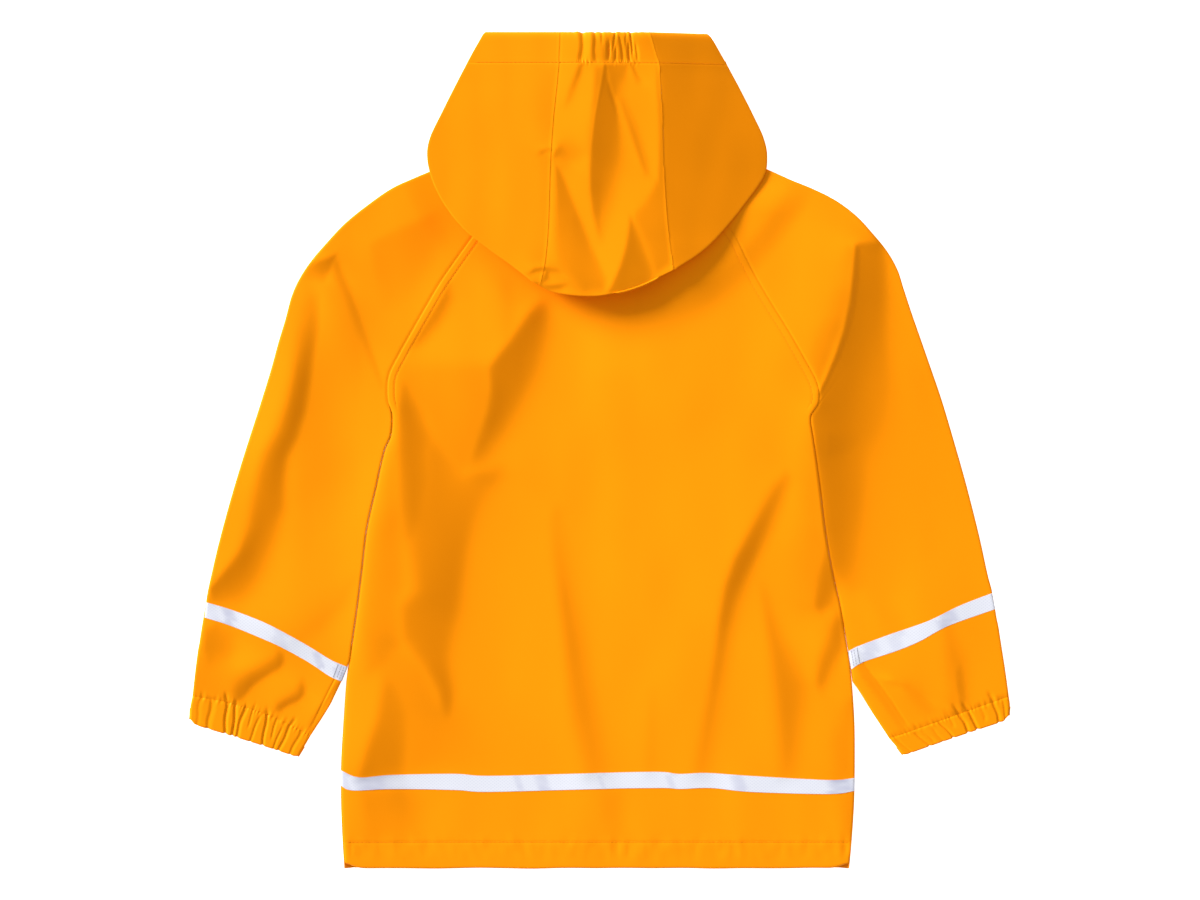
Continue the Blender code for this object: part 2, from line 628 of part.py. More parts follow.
def sleeve_row(folds, inner, outer, bow, closed, floor=0.0):
    """One section of a sleeve: over the top from its inner edge, and back along the floor.

    `closed` is 0 where the inner edge is open at the raglan seam and 1 where it is folded.
    """
    line = []
    ways = ((section(inner, outer, bow, SLEEVE_COLUMNS), 1),
            (section(outer, inner, bow, SLEEVE_UNDER_COLUMNS)[1:], -1))
    for points, upward in ways:
        for p in points:
            from_inner, from_outer = (p - inner).length, (p - outer).length
            at_inner = from_inner < from_outer
            distance = min(from_inner, from_outer)
            share = rounding(distance, EDGE_ROUND)
            if at_inner:
                share = 1.0 - closed * (1.0 - share)
            lip = LIP + (upward * 0.5 * SEAM_GAP if at_inner and distance < EDGE_ROUND else 0.0)
            level = cloth_height(folds, p) if upward > 0 else floor
            sideways = inner - outer if at_inner else outer - inner
            line.append((Vector((*p, lip + (level - lip) * share)),
                         outward(share, distance, sideways, upward)))
    return line


def make_sleeves(folds):
    for name, sign, outer_edge, ends in (("left", -1, SLEEVE_LEFT_OUTER, SLEEVE_LEFT_ENDS),
                                         ("right", 1, SLEEVE_RIGHT_OUTER, SLEEVE_RIGHT_ENDS)):
        rows, tape = [], []
        for row, (x, y, bow) in enumerate(outer_edge):
            inner = BODY_EDGE[sign][row].copy()
            if row >= ARMPIT:
                inner.x += sign * EDGE_CLEARANCE
            closed = 1.0 if row >= ARMPIT else HALF_CLOSED if row == ARMPIT - 1 else 0.0
            rows.append(sleeve_row(folds, inner, mm(x, y), bow, closed))
        for title, x_in, y_in, x_out, y_out, bow in ends:
            inner, outer = mm(x_in, y_in), mm(x_out, y_out)
            taped = title.startswith("tape")
            if taped:
                inward = (outer - inner).normalized() * TAPE_SINK
                inner, outer = inner + inward, outer - inward
            rows.append(sleeve_row(folds, inner, outer, bow, 1.0, TAPE_SINK if taped else 0.0))
            if taped:
                tape.append(moved_out(rows[-1], TAPE_SINK))
        last = len(rows[0]) - 1
        level = [(row, end) for row in range(ARMPIT, len(rows)) for end in (0, last)]
        panel("sleeve_" + name, [moved_out(row, 0.0) for row in rows], CLOTH, level, flip=sign < 0)
        ends_of_tape = [(row, end) for row in (0, 1) for end in (0, last)]
        panel("stripe_sleeve_" + name, tape, TAPE, ends_of_tape, flip=sign < 0,
              colour=SILVER, roughness=0.35)


def make_cuffs():
    for name, sign, table in (("left", -1, CUFF_LEFT_SECTIONS), ("right", 1, CUFF_RIGHT_SECTIONS)):
        rows = []
        for title, x_in, y_in, x_out, y_out, bow in table:
            inner, outer = mm(x_in, y_in), mm(x_out, y_out)
            line = []
            for p in section(inner, outer, bow, CUFF_GATHERS * CUFF_GATHER_STEPS):
                inset = min((p - inner).length, (p - outer).length)
                turn = (p - inner).length / (outer - inner).length * CUFF_GATHERS
                wave = 0.5 * (1 - math.cos(2 * math.pi * turn)) * CUFF_GATHER_HEIGHT
                line.append(Vector((*p, LIP + (CUFF_TOP + wave - LIP) * rounding(inset, EDGE_ROUND))))
            for p in section(outer, inner, bow, SLEEVE_UNDER_COLUMNS)[1:-1]:
                inset = min((p - inner).length, (p - outer).length)
                line.append(Vector((*p, LIP - LIP * rounding(inset, EDGE_ROUND))))
            rows.append(line)
        panel("cuff_" + name, rows, CUFF_CLOTH, flip=sign < 0, closed=True)


# ---------------------------------------------------------------- hood

def hood_height(folds, point):
    """Height of the hood's outer surface, away from its folded edge."""
    crest, side = read_table(HOOD_CREST, point.y), read_table(HOOD_SIDES, point.y)
    half = read_table(HOOD_CREST, point.y, 2)
    fall = min(1.0, abs(point.x - HOOD_MIDDLE_X) / half)
    return side + (crest - side) * (1 - fall * fall) + fold_height(folds, point)


def hood_top(folds, point, low):
    """Point on the upper half of the hood, above its widest line."""
    top = hood_height(folds, point)
    middle = 0.5 * (top + low)
    share = rounding(distance_to(HOOD_OUTLINE, point), HOOD_ROUND)
    return Vector((*point, middle + (top - middle) * share))


def hood_under(folds, point, low, distance=None):
    """Point on the lower half of the hood."""
    middle = 0.5 * (hood_height(folds, point) + low)
    inward = distance_to(HOOD_OUTLINE, point) if distance is None else distance
    return Vector((*point, middle - (middle - low) * rounding(inward, HOOD_ROUND)))


def make_hood_sides(folds):
    for name, sign in (("left", -1), ("right", 1)):
        rows = []
        for row in range(len(HOOD_STATIONS)):
            edge, seam = side_edge(row, sign)
            low = 0.0 if row <= LAST_WING_STATION else NAPE_LOW
            reach = min(HOOD_ROUND, 0.6 * (edge - seam).length)
            line = [hood_top(folds, p, low)
                    for p in section(seam, edge, 0.0, SIDE_HOOD_COLUMNS, 0.0, reach)]
            line += side_under(folds, row, sign, low)
            rows.append(line)
        first_under = SIDE_HOOD_COLUMNS + len(ROUND_STEPS)
        skip = {(LAST_WING_STATION, c) for c in range(first_under, len(rows[0]))}
        panel("hood_side_" + name, rows, CLOTH, flip=sign < 0, skip=skip)


def side_edge(row, sign):
    """Outer edge and seam of a side panel at one station."""
    station = HOOD_STATIONS[row]
    if sign < 0:
        return mm(*station[0:2]), mm(station[2] - SEAM_SHARE, station[3])
    return mm(*station[6:8]), mm(station[4] + SEAM_SHARE, station[5])


def side_under(folds, row, sign, low):
    """The hidden half of one hood section: round the folded edge, then level.

    The wing lies on the floor between the outer edge and the face edge, down to the front of the
    neck. The nape part lies on the back between the outer edge and the long seam, up to the neck.
    """
    edge, seam = side_edge(row, sign)
    face_edge = spline([mm(sign * x, y) for x, y in FACE_EDGE], 4)
    if row <= LAST_WING_STATION:
        neck = [p.xy + Vector((0.0, NECK_CLEARANCE)) for p in front_row(0, sign, SEAM_GAP, False)]
        shoulder = [mm(sign * x, y) for x, y in WING_BY_SHOULDER]
        first = [side_edge(0, sign)[0], face_edge[0]]
        last = [side_edge(LAST_WING_STATION, sign)[0]] + shoulder + [neck[i] for i in WING_NECK_POINTS]
        share = row / LAST_WING_STATION
        stop = at_share(face_edge[:-1] + [last[-1]], share)
    else:
        shoulder = [mm(sign * x, y) for x, y in NAPE_OVER_SHOULDER]
        neck = mm(sign * NAPE_SEAM_X, NAPE_Y)
        first = [side_edge(LAST_WING_STATION + 1, sign)[0]] + shoulder + [neck]
        last = list(side_edge(len(HOOD_STATIONS) - 1, sign))
        share = (row - LAST_WING_STATION - 1) / (len(HOOD_STATIONS) - LAST_WING_STATION - 2)
        stop = neck if share == 0.0 else seam
    points = []
    for i in range(1, UNDER_HOOD_COLUMNS + 1):
        s = i / UNDER_HOOD_COLUMNS
        start_error = edge - first[0].lerp(last[0], share)
        stop_error = stop - first[-1].lerp(last[-1], share)
        points.append(at_corner_share(first, s).lerp(at_corner_share(last, s), share)
                      + start_error * (1 - s) + stop_error * s)
    rounded = [edge.lerp(points[0], t) for t in ROUND_STEPS[1:]]
    return [hood_under(folds, p, low, (p - edge).length) for p in rounded + points]


def at_corner_share(corners, share):
    """Like at_share, but a path of many corners gives each of them one column."""
    if len(corners) == UNDER_HOOD_COLUMNS + 1:
        return corners[round(share * UNDER_HOOD_COLUMNS)]
    return at_share(corners, share)


def make_hood_centre(folds):
    crown = spline([mm(*p) for p in HOOD_CROWN], 6)
    rows = []
    across = [(mm(*s[2:4]), mm(*s[4:6]), s[8]) for s in HOOD_STATIONS]
    for left, right, bow in across:
        rows.append([hood_top(folds, p, NAPE_LOW)
                     for p in section(left, right, bow, CENTRE_HOOD_COLUMNS, 0.0, 0.0)])
    rows.append([hood_top(folds, at_share(crown, i / CENTRE_HOOD_COLUMNS), NAPE_LOW)
                 for i in range(CENTRE_HOOD_COLUMNS + 1)])
    for left, right, bow in reversed(across[LAST_WING_STATION + 2:]):
        rows.append([hood_under(folds, p, NAPE_LOW)
                     for p in section(left, right, bow, CENTRE_HOOD_COLUMNS, 0.0, 0.0)])
    rows.append([hood_under(folds, p, NAPE_LOW)
                 for p in section(mm(-NAPE_SEAM_X, NAPE_Y), mm(NAPE_SEAM_X, NAPE_Y), 0.0,
                                  CENTRE_HOOD_COLUMNS, 0.0, 0.0)])
    panel("hood_centre", rows, CLOTH)


def make_casing(folds):
    """The elastic casing runs across the top and turns under at both ends."""
    rows = []
    for y, x_left, x_right in CASING_SECTIONS:
        left, right = mm(x_left, y), mm(x_right, y)
        under = [Vector((left.x + CASING_UNDER * s, left.y)) for s in (1.0, 0.5)]
        under += [Vector((left.x + EDGE_ROUND * s, left.y)) for s in (1.0, *ROUND_STEPS[:0:-1])]
        line = [casing_point(folds, p, left, right, False) for p in under]
        line += [casing_point(folds, p, left, right, True)
                 for p in section(left, right, 0.0, CASING_COLUMNS)]
        mirrored = [Vector((right.x - (p.x - left.x), p.y)) for p in reversed(under)]
        line += [casing_point(folds, p, left, right, False) for p in mirrored]
        rows.append(line)
    panel("hood_casing", rows[::-1], CASING_CLOTH)


def casing_point(folds, point, left, right, above):
    inset = min(abs(point.x - left.x), abs(point.x - right.x))
    top = hood_height(folds, point)
    start, end = (x * MM for x in CASING_GATHERED)
    if start < point.x < end:
        turn = (point.x - start) / (end - start)
        swell = math.sin(math.pi * turn) ** 0.5 * CASING_GATHER_HEIGHT
        top += swell * 0.5 * (1 - math.cos(2 * math.pi * CASING_GATHERS * turn))
    middle = 0.5 * read_table(HOOD_SIDES, point.y)
    share = rounding(inset, EDGE_ROUND)
    return Vector((*point, middle + ((top if above else 0.0) - middle) * share))


# ---------------------------------------------------------------- scene

def clear_scene():
    for item in list(bpy.data.objects):
        bpy.data.objects.remove(item, do_unlink=True)


def main():
    clear_scene()
    folds, hood_folds = prepared(FOLDS), prepared(HOOD_FOLDS)
    make_back(folds)
    make_fronts()
    make_studs()
    make_sleeves(folds)
    make_cuffs()
    make_hood_sides(hood_folds)
    make_hood_centre(hood_folds)
    make_casing(hood_folds)


main()
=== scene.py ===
"""Child's hooded rain jacket, laid flat: fine cloth shells, sewing, tape and finishes on its frame.

Blender 4.5. Tables are in millimetres, and functions work in metres. +Y runs from the hem to the
hood, +X to the right of the back view, and the floor is at z = 0.
"""
import math

import bpy
import numpy as np
from bpy.props import FloatProperty, FloatVectorProperty, PointerProperty
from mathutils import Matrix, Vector, noise


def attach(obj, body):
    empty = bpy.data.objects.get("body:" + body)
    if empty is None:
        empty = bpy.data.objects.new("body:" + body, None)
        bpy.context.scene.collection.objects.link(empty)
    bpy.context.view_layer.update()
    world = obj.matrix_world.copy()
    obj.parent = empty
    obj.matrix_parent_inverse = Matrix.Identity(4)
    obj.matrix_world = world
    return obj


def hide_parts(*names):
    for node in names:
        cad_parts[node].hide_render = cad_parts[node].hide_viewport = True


bl_info = {
    "name": "Laid-flat rain jacket",
    "version": (1, 0, 0),
    "blender": (4, 5, 0),
    "location": "3D View > Sidebar > Rain jacket",
    "description": "Builds a child's hooded rain jacket with its folds, sewing and reflective tape",
    "category": "Object",
}

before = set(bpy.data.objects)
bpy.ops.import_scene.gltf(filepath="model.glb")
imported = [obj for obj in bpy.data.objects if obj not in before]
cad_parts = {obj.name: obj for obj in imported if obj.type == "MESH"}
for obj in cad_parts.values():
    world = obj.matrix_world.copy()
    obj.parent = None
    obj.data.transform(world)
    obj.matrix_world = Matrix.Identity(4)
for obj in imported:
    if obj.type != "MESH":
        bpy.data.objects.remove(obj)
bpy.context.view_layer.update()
BODY = "root"
MM = 0.001
SIDES = (("left", -1), ("right", 1))

# ------------ sizes of the cut

CLOTH = 0.8 * MM  # its thickness, with the air between its layers
SEAM_GAP = 0.12 * MM  # between two panels at their seam
FLAT_TOP = 6.2 * MM  # upper surface of the upper cloth where nothing lifts it
SEAM_DROP = 0.65 * MM  # from the upper cloth down to the seam or fold at its edge
EDGE_SINK = 0.6 * MM  # how far cloth sinks towards a left edge, on top of that
SINK_REACH = 4 * MM  # how far in that goes
NAPE_LOW = FLAT_TOP + 0.5 * MM  # the hood's underside, where it lies on the back
EDGE_ROUND = 2.2 * MM  # how far in from a folded edge the cloth is level again
HOOD_ROUND = 1.2 * MM  # the same for the hood
HOOD_RIM = 0.35 * MM  # from the hood's upper surface down to its folded edge
HOOD_UNDER_ROUND = 14.0 * MM  # how far in the hood's underside comes down from that edge
HOOD_TUCK = 0.9 * MM  # how much closer together the hood's layers are under the casing
LOWEST_TOP = 5.3 * MM  # the upper cloth never lies lower, because the fronts are under it
TOPSTITCH = 5.8 * MM  # from the raglan seam to its topstitching

# Grooves where seams and stitches pull the cloth in: width and depth.
RAGLAN_GROOVE = (0.8 * MM, 0.26 * MM)
SLEEVE_RAGLAN_GROOVE = (1.4 * MM, 0.3 * MM)
RAGLAN_STRENGTH = {-1: 1.0, 1: 0.6}  # how strongly each raglan seam shows on the back
RAGLAN_FADE = 0.08  # share of the seam's length over which it fades out at the armpit
TOPSTITCH_GROOVE = (0.6 * MM, 0.2 * MM)
HEM_GROOVE = (0.8 * MM, 0.22 * MM)
SLEEVE_SEAM_GROOVE = (0.7 * MM, 0.3 * MM)
CUFF_GROOVE = (1.1 * MM, 0.3 * MM)

# Columns in from a panel's edge, in millimetres: the roll of the edge, then the topstitching.
EDGE_COLUMNS = (0.0, 0.08, 0.25, 0.5, 0.85, 1.3, 1.85, 2.5, 3.2,
                4.2, 5.1, 5.6, 6.0, 6.5, 7.2, 8.4, 10.2)

BODY_SECTIONS = (
    # x_left  y_left  x_right y_right  bow of the section's middle
    (-63.0,   246.5,   63.0,  248.2,  -7.5),
    (-77.3,   220.5,   76.4,  224.7,  -5.0),
    (-92.4,   199.5,   93.2,  202.9,  -2.0),
    (-107.5,  179.3,  111.7,  181.9,   0.0),
    (-121.8,  159.2,  121.8,  162.5,   0.0),
    (-134.4,  140.7,  131.9,  143.2,   0.0),
    (-146.2,  120.5,  143.6,  123.1,   0.0),
    (-157.1,  101.2,  157.1,  101.2,   0.0),
    (-168.8,   80.2,  170.5,   77.7,   0.0),
    (-177.2,   62.6,  181.4,   56.7,   0.0),
    (-178.1,   44.1,  183.1,   40.7,   0.0),
    (-174.7,   29.8,  176.4,   28.1,   0.0),     # armpit
    (-175.6,   13.0,  178.1,   12.2,   0.0),
    (-181.4,   -2.1,  180.6,   -3.8,   0.0),
    (-188.2,  -32.3,  184.8,  -33.2,   0.0),
    (-195.7,  -65.9,  189.0,  -66.8,   0.0),
    (-199.9, -101.2,  194.9, -100.4,   0.0),
    (-204.1, -134.0,  200.8, -125.6,   0.0),
    (-208.2, -161.7,  205.0, -149.1,   0.0),
    (-212.6, -191.0,  210.4, -183.5,   0.0),
    (-215.4, -228.0,  213.7, -224.0,   0.0),
    (-217.4, -262.0,  214.2, -262.0,   0.0),
    (-217.5, -296.0,  213.6, -296.0,   0.0),
    (-216.2, -328.9,  211.4, -328.9,   0.0),
    (-214.8, -351.0,  209.3, -351.0,   0.0),
)
ARMPIT = 11  # the row where the raglan seam ends and the side seam starts
HEM_STITCH_Y = -328.9 * MM
HEM_Y = -351.0 * MM
FRONT_NECK_Y = 193.0 * MM  # the neckline at the closing edge, and how far it bows down
FRONT_NECK_BOW = -10.0 * MM

# Outer edges of the sleeves, from the neck to the tape. Each point faces the body's row of the same
# number, and the first twelve face the raglan seam.
SLEEVE_LEFT_OUTER = (
    (-84.0, 256.6), (-110.9, 247.9), (-134.4, 238.1), (-156.2, 228.9), (-175.6, 219.7),
    (-194.9, 206.2), (-213.4, 191.1), (-228.5, 175.1), (-241.9, 159.2), (-252.0, 144.1),
    (-258.7, 128.9), (-263.8, 109.6), (-269.6, 90.3), (-275.5, 68.5), (-284.8, 38.2),
    (-295.7, 4.6), (-307.4, -33.2), (-318.6, -73.5), (-326.0, -104.6),
)
SLEEVE_RIGHT_OUTER = (
    (84.0, 258.3), (111.7, 248.6), (136.1, 238.3), (159.6, 227.6), (178.9, 219.7),
    (198.2, 209.8), (215.2, 196.9), (229.2, 181.8), (241.1, 167.4), (249.8, 152.2),
    (255.1, 136.2), (261.2, 117.6), (268.2, 97.5), (275.8, 75.7), (286.8, 43.8),
    (297.4, 8.4), (308.1, -29.5), (318.7, -71.6), (325.9, -104.6),
)
SLEEVE_LEFT_ENDS = (
    # x_inner  y_inner  x_outer  y_outer  bow, from the tape to the cuff
    (-211.4, -181.0, -330.8, -127.2, 5.0),
    (-223.0, -206.9, -336.4, -161.7, 5.0),
    (-231.2, -221.2, -339.6, -183.0, 5.5),
    (-243.2, -239.6, -342.6, -206.2, 5.5),
)
SLEEVE_RIGHT_ENDS = (
    (208.4, -168.4, 329.9, -119.7, 2.0),
    (211.3, -191.0, 333.9, -142.6, 1.8),
    (213.4, -196.0, 335.2, -150.0, 1.6),
    (218.0, -202.6, 336.4, -157.9, 1.5),
    (228.9, -220.4, 340.2, -181.9, 1.0),
    (243.0, -241.9, 343.6, -206.2, 0.0),
)
CUFF_LEFT = (
    SLEEVE_LEFT_ENDS[-1],
    (-248.2, -248.4, -344.9, -217.0, 3.5),
    (-253.4, -257.2, -346.0, -228.4, 0.5),
)
CUFF_RIGHT = (
    SLEEVE_RIGHT_ENDS[-1],
    (248.9, -249.0, 345.2, -216.0, 0.5),
    (254.0, -255.8, 345.2, -224.8, 0.5),
)
CUFF_TOP = FLAT_TOP - 0.3 * MM
CUFF_WALL = 1.2 * MM  # from the cuff's outer to its inner surface
CUFF_FOLD = 0.9 * MM  # how far the folded edge stands out at the cuff's opening
# How much the opening's corners are drawn up: at the inner and the outer edge, size and reach.
CUFF_CORNERS = ((0.5, 2.6 * MM), (1.7, 4.4 * MM))
SLEEVE_GATHERS = 11 * MM  # how far the cuff's gathers run up the sleeve
SLEEVE_LEVELS = 34 * MM  # how far from the cuff the sleeve comes down to its height
LOWEST_SLEEVE = 3.6 * MM
# Valleys between the cuffs' gathers, as shares of the cuff's width from its inner edge: place at the
# seam and at the opening, width of the inner and outer slope, depth in millimetres, and the shares of
# the cuff's depth between which each one runs.
CUFF_VALLEYS = {
    -1: ((0.08, 0.08, 0.03, 0.02, 0.5, -0.4, 1.2), (0.18, 0.18, 0.03, 0.018, 0.7, -0.7, 1.2),
         (0.235, 0.23, 0.02, 0.012, 0.5, 0.1, 1.2), (0.30, 0.27, 0.022, 0.016, 0.5, -0.3, 0.8),
         (0.385, 0.33, 0.03, 0.016, 0.9, -0.5, 1.2), (0.43, 0.44, 0.022, 0.02, 0.5, 0.0, 1.2),
         (0.50, 0.49, 0.02, 0.016, 0.4, -0.6, 0.7), (0.57, 0.565, 0.035, 0.02, 0.8, -0.3, 1.2),
         (0.65, 0.60, 0.035, 0.016, 1.1, -0.4, 1.2), (0.72, 0.67, 0.035, 0.02, 1.0, -0.7, 1.2),
         (0.84, 0.82, 0.05, 0.03, 0.6, -0.2, 1.2), (0.93, 0.92, 0.04, 0.03, 0.3, -0.5, 1.2)),
    1: ((0.04, 0.08, 0.03, 0.02, 0.4, -0.2, 1.2), (0.18, 0.25, 0.016, 0.03, 0.8, 0.0, 1.2),
        (0.24, 0.31, 0.02, 0.03, 0.4, -0.4, 1.0), (0.33, 0.37, 0.03, 0.03, 0.3, 0.1, 1.2),
        (0.40, 0.47, 0.012, 0.03, 0.9, -0.1, 1.2), (0.50, 0.52, 0.03, 0.03, 0.3, -0.6, 0.6),
        (0.58, 0.61, 0.02, 0.035, 1.0, -0.8, 1.2), (0.655, 0.69, 0.02, 0.03, 1.1, -0.7, 1.2),
        (0.76, 0.78, 0.03, 0.04, 0.3, -0.3, 0.8), (0.865, 0.89, 0.02, 0.035, 0.8, -0.8, 1.2),
        (0.94, 0.955, 0.02, 0.03, 0.4, -0.3, 1.2)),
}

# Hood: outer edge and long seam on the left, seam and edge on the right, and centre panel's bow.
HOOD_STATIONS = (
    (-111.0, 323.3, -34.4, 323.3, 49.6, 323.3, 106.8, 323.3,   0.0),
    (-121.0, 304.0, -36.1, 303.7, 51.2, 303.7, 117.2, 304.0,   0.0),
    (-132.0, 282.0, -38.6, 281.8, 52.0, 281.8, 128.4, 282.0,   0.0),
    (-142.0, 260.8, -40.3, 260.8, 53.0, 260.8, 137.6, 262.0,   0.0),
    (-144.3, 245.0, -41.2, 244.0, 53.5, 244.0, 140.5, 246.0,   0.0),
    (-140.5, 227.0, -42.0, 227.2, 53.8, 227.2, 137.5, 230.0,   0.0),
    (-130.5, 206.2, -42.4, 206.2, 55.0, 206.2, 121.0, 206.0,  -3.0),
    (-114.0, 185.2, -43.3, 185.2, 56.8, 185.2, 103.0, 184.0,  -7.7),
    (-94.0,  169.0, -44.6, 168.4, 59.0, 172.0,  90.0, 170.5, -13.5),
    (-76.0,  156.0, -46.5, 153.3, 60.2, 160.0,  78.0, 161.2, -16.5),
    (-64.0,  146.8, -48.4, 145.5, 60.9, 155.0,  71.0, 156.8, -17.0),
    (-55.5,  140.2, -49.3, 140.3, 61.3, 152.4,  66.0, 153.6, -15.8),
)
LAST_WING_STATION = 4  # down to here the sides fold under to the face edge, then to the nape
HOOD_CROWN = ((-52.5, 138.4), (-39.5, 132.4), (-17.6, 129.1), (3.4, 129.8), (31.1, 136.6),
              (62.6, 151.2))
NAPE_SEAM_X = 38.0 * MM
NAPE_Y = 240.5 * MM
# Lines on the hood's underside, for its right half: the face edge, the lower end of the part beside
# it, and where the part over the nape starts.
FACE_EDGE = ((79.0, 325.5), (66.0, 292.0), (38.0, 240.0), (16.5, 194.5))
WING_END = ((134.0, 241.0), (110.6, 250.0), (84.2, 259.8), (63.0, 248.8), (59.0, 243.5),
            (40.0, 215.0), (20.0, 195.5))
NAPE_START = ((118.0, 236.0), (88.0, 248.0), (63.0, 244.0), (38.0, 240.5))
UNDER_COLUMNS = 14

CASING = (
    # y       x_left   x_right
    (323.3,  -111.0,   106.8),
    (333.0,  -105.9,   101.2),
    (342.6,  -100.4,    95.8),
    (349.6,   -97.0,    91.4),
)
CASING_UNDER = 20.0 * MM  # how far the casing turns under at each side
CASING_SEAM_Y = 323.4 * MM
CASING_TOP_Y = 349.5 * MM
GATHERED_HEIGHT = 26 * MM  # from the casing's seam up to where its gathers end
# Rows round the casing, over its top and back underneath: y and depth below its outer surface.
CASING_ROWS = (
    (323.35, 0.08), (323.7, 0.02), (324.2, 0.0), (325.0, 0.0), (326.0, 0.0), (327.4, 0.0),
    *((y, 0.0) for y in range(329, 344, 2)),
    (345.2, 0.1), (347.0, 0.3), (348.3, 0.7), (349.1, 1.2), (349.5, 1.8), (349.1, 2.4),
    (348.1, 2.9), (346.5, 3.2), (343.0, 3.3), (337.0, 3.3), (331.0, 3.2), (327.0, 2.8),
)
CASING_STITCH_Y = 323.9 * MM
CASING_STITCH_HALF = 104 * MM
# Valleys between the casing's gathers: place at its seam and at its top, width of the left and right
# slope, depth, and the shares of the casing's height between which each one runs.
CASING_VALLEYS = (
    (-15.6, -14.0, 4.2, 8.5, 0.95, -0.1, 1.2), (-3.4, -4.4, 4.2, 7.0, 0.8, -0.1, 1.2),
    (0.4, 1.8, 2.0, 3.4, 0.45, 0.5, 1.2), (6.6, 9.2, 3.6, 1.7, 1.35, 0.0, 0.75),
    (8.6, 13.0, 1.3, 2.2, 0.85, 0.3, 1.2), (12.6, 15.2, 2.2, 1.6, 0.85, -0.1, 0.6),
    (19.6, 16.2, 2.2, 3.2, 0.75, -0.1, 0.95), (20.4, 22.0, 1.3, 1.9, 0.45, 0.4, 1.2),
    (25.2, 23.0, 2.4, 1.5, 1.1, -0.1, 0.7), (27.6, 25.4, 1.2, 2.2, 0.9, 0.15, 1.2),
    (31.4, 28.8, 1.4, 3.0, 0.5, -0.1, 0.7),
)
# Stretches of the casing's seam with fine puckers: start, end and height.
CASING_PUCKERS = ((-22.0, -5.5, 0.28), (8.5, 34.0, 0.26))
PUCKER_PITCH = 2.3 * MM
# Seams across the sleeves' undersides, where they show beside the inner edge.
SLEEVE_SEAM_LINES = {
    -1: ((-221.8, -190.5), (-231.6, -209.8), (-242.6, -232.0)),
    1: ((221.0, -178.5), (240.8, -204.1), (257.5, -229.5)),
}

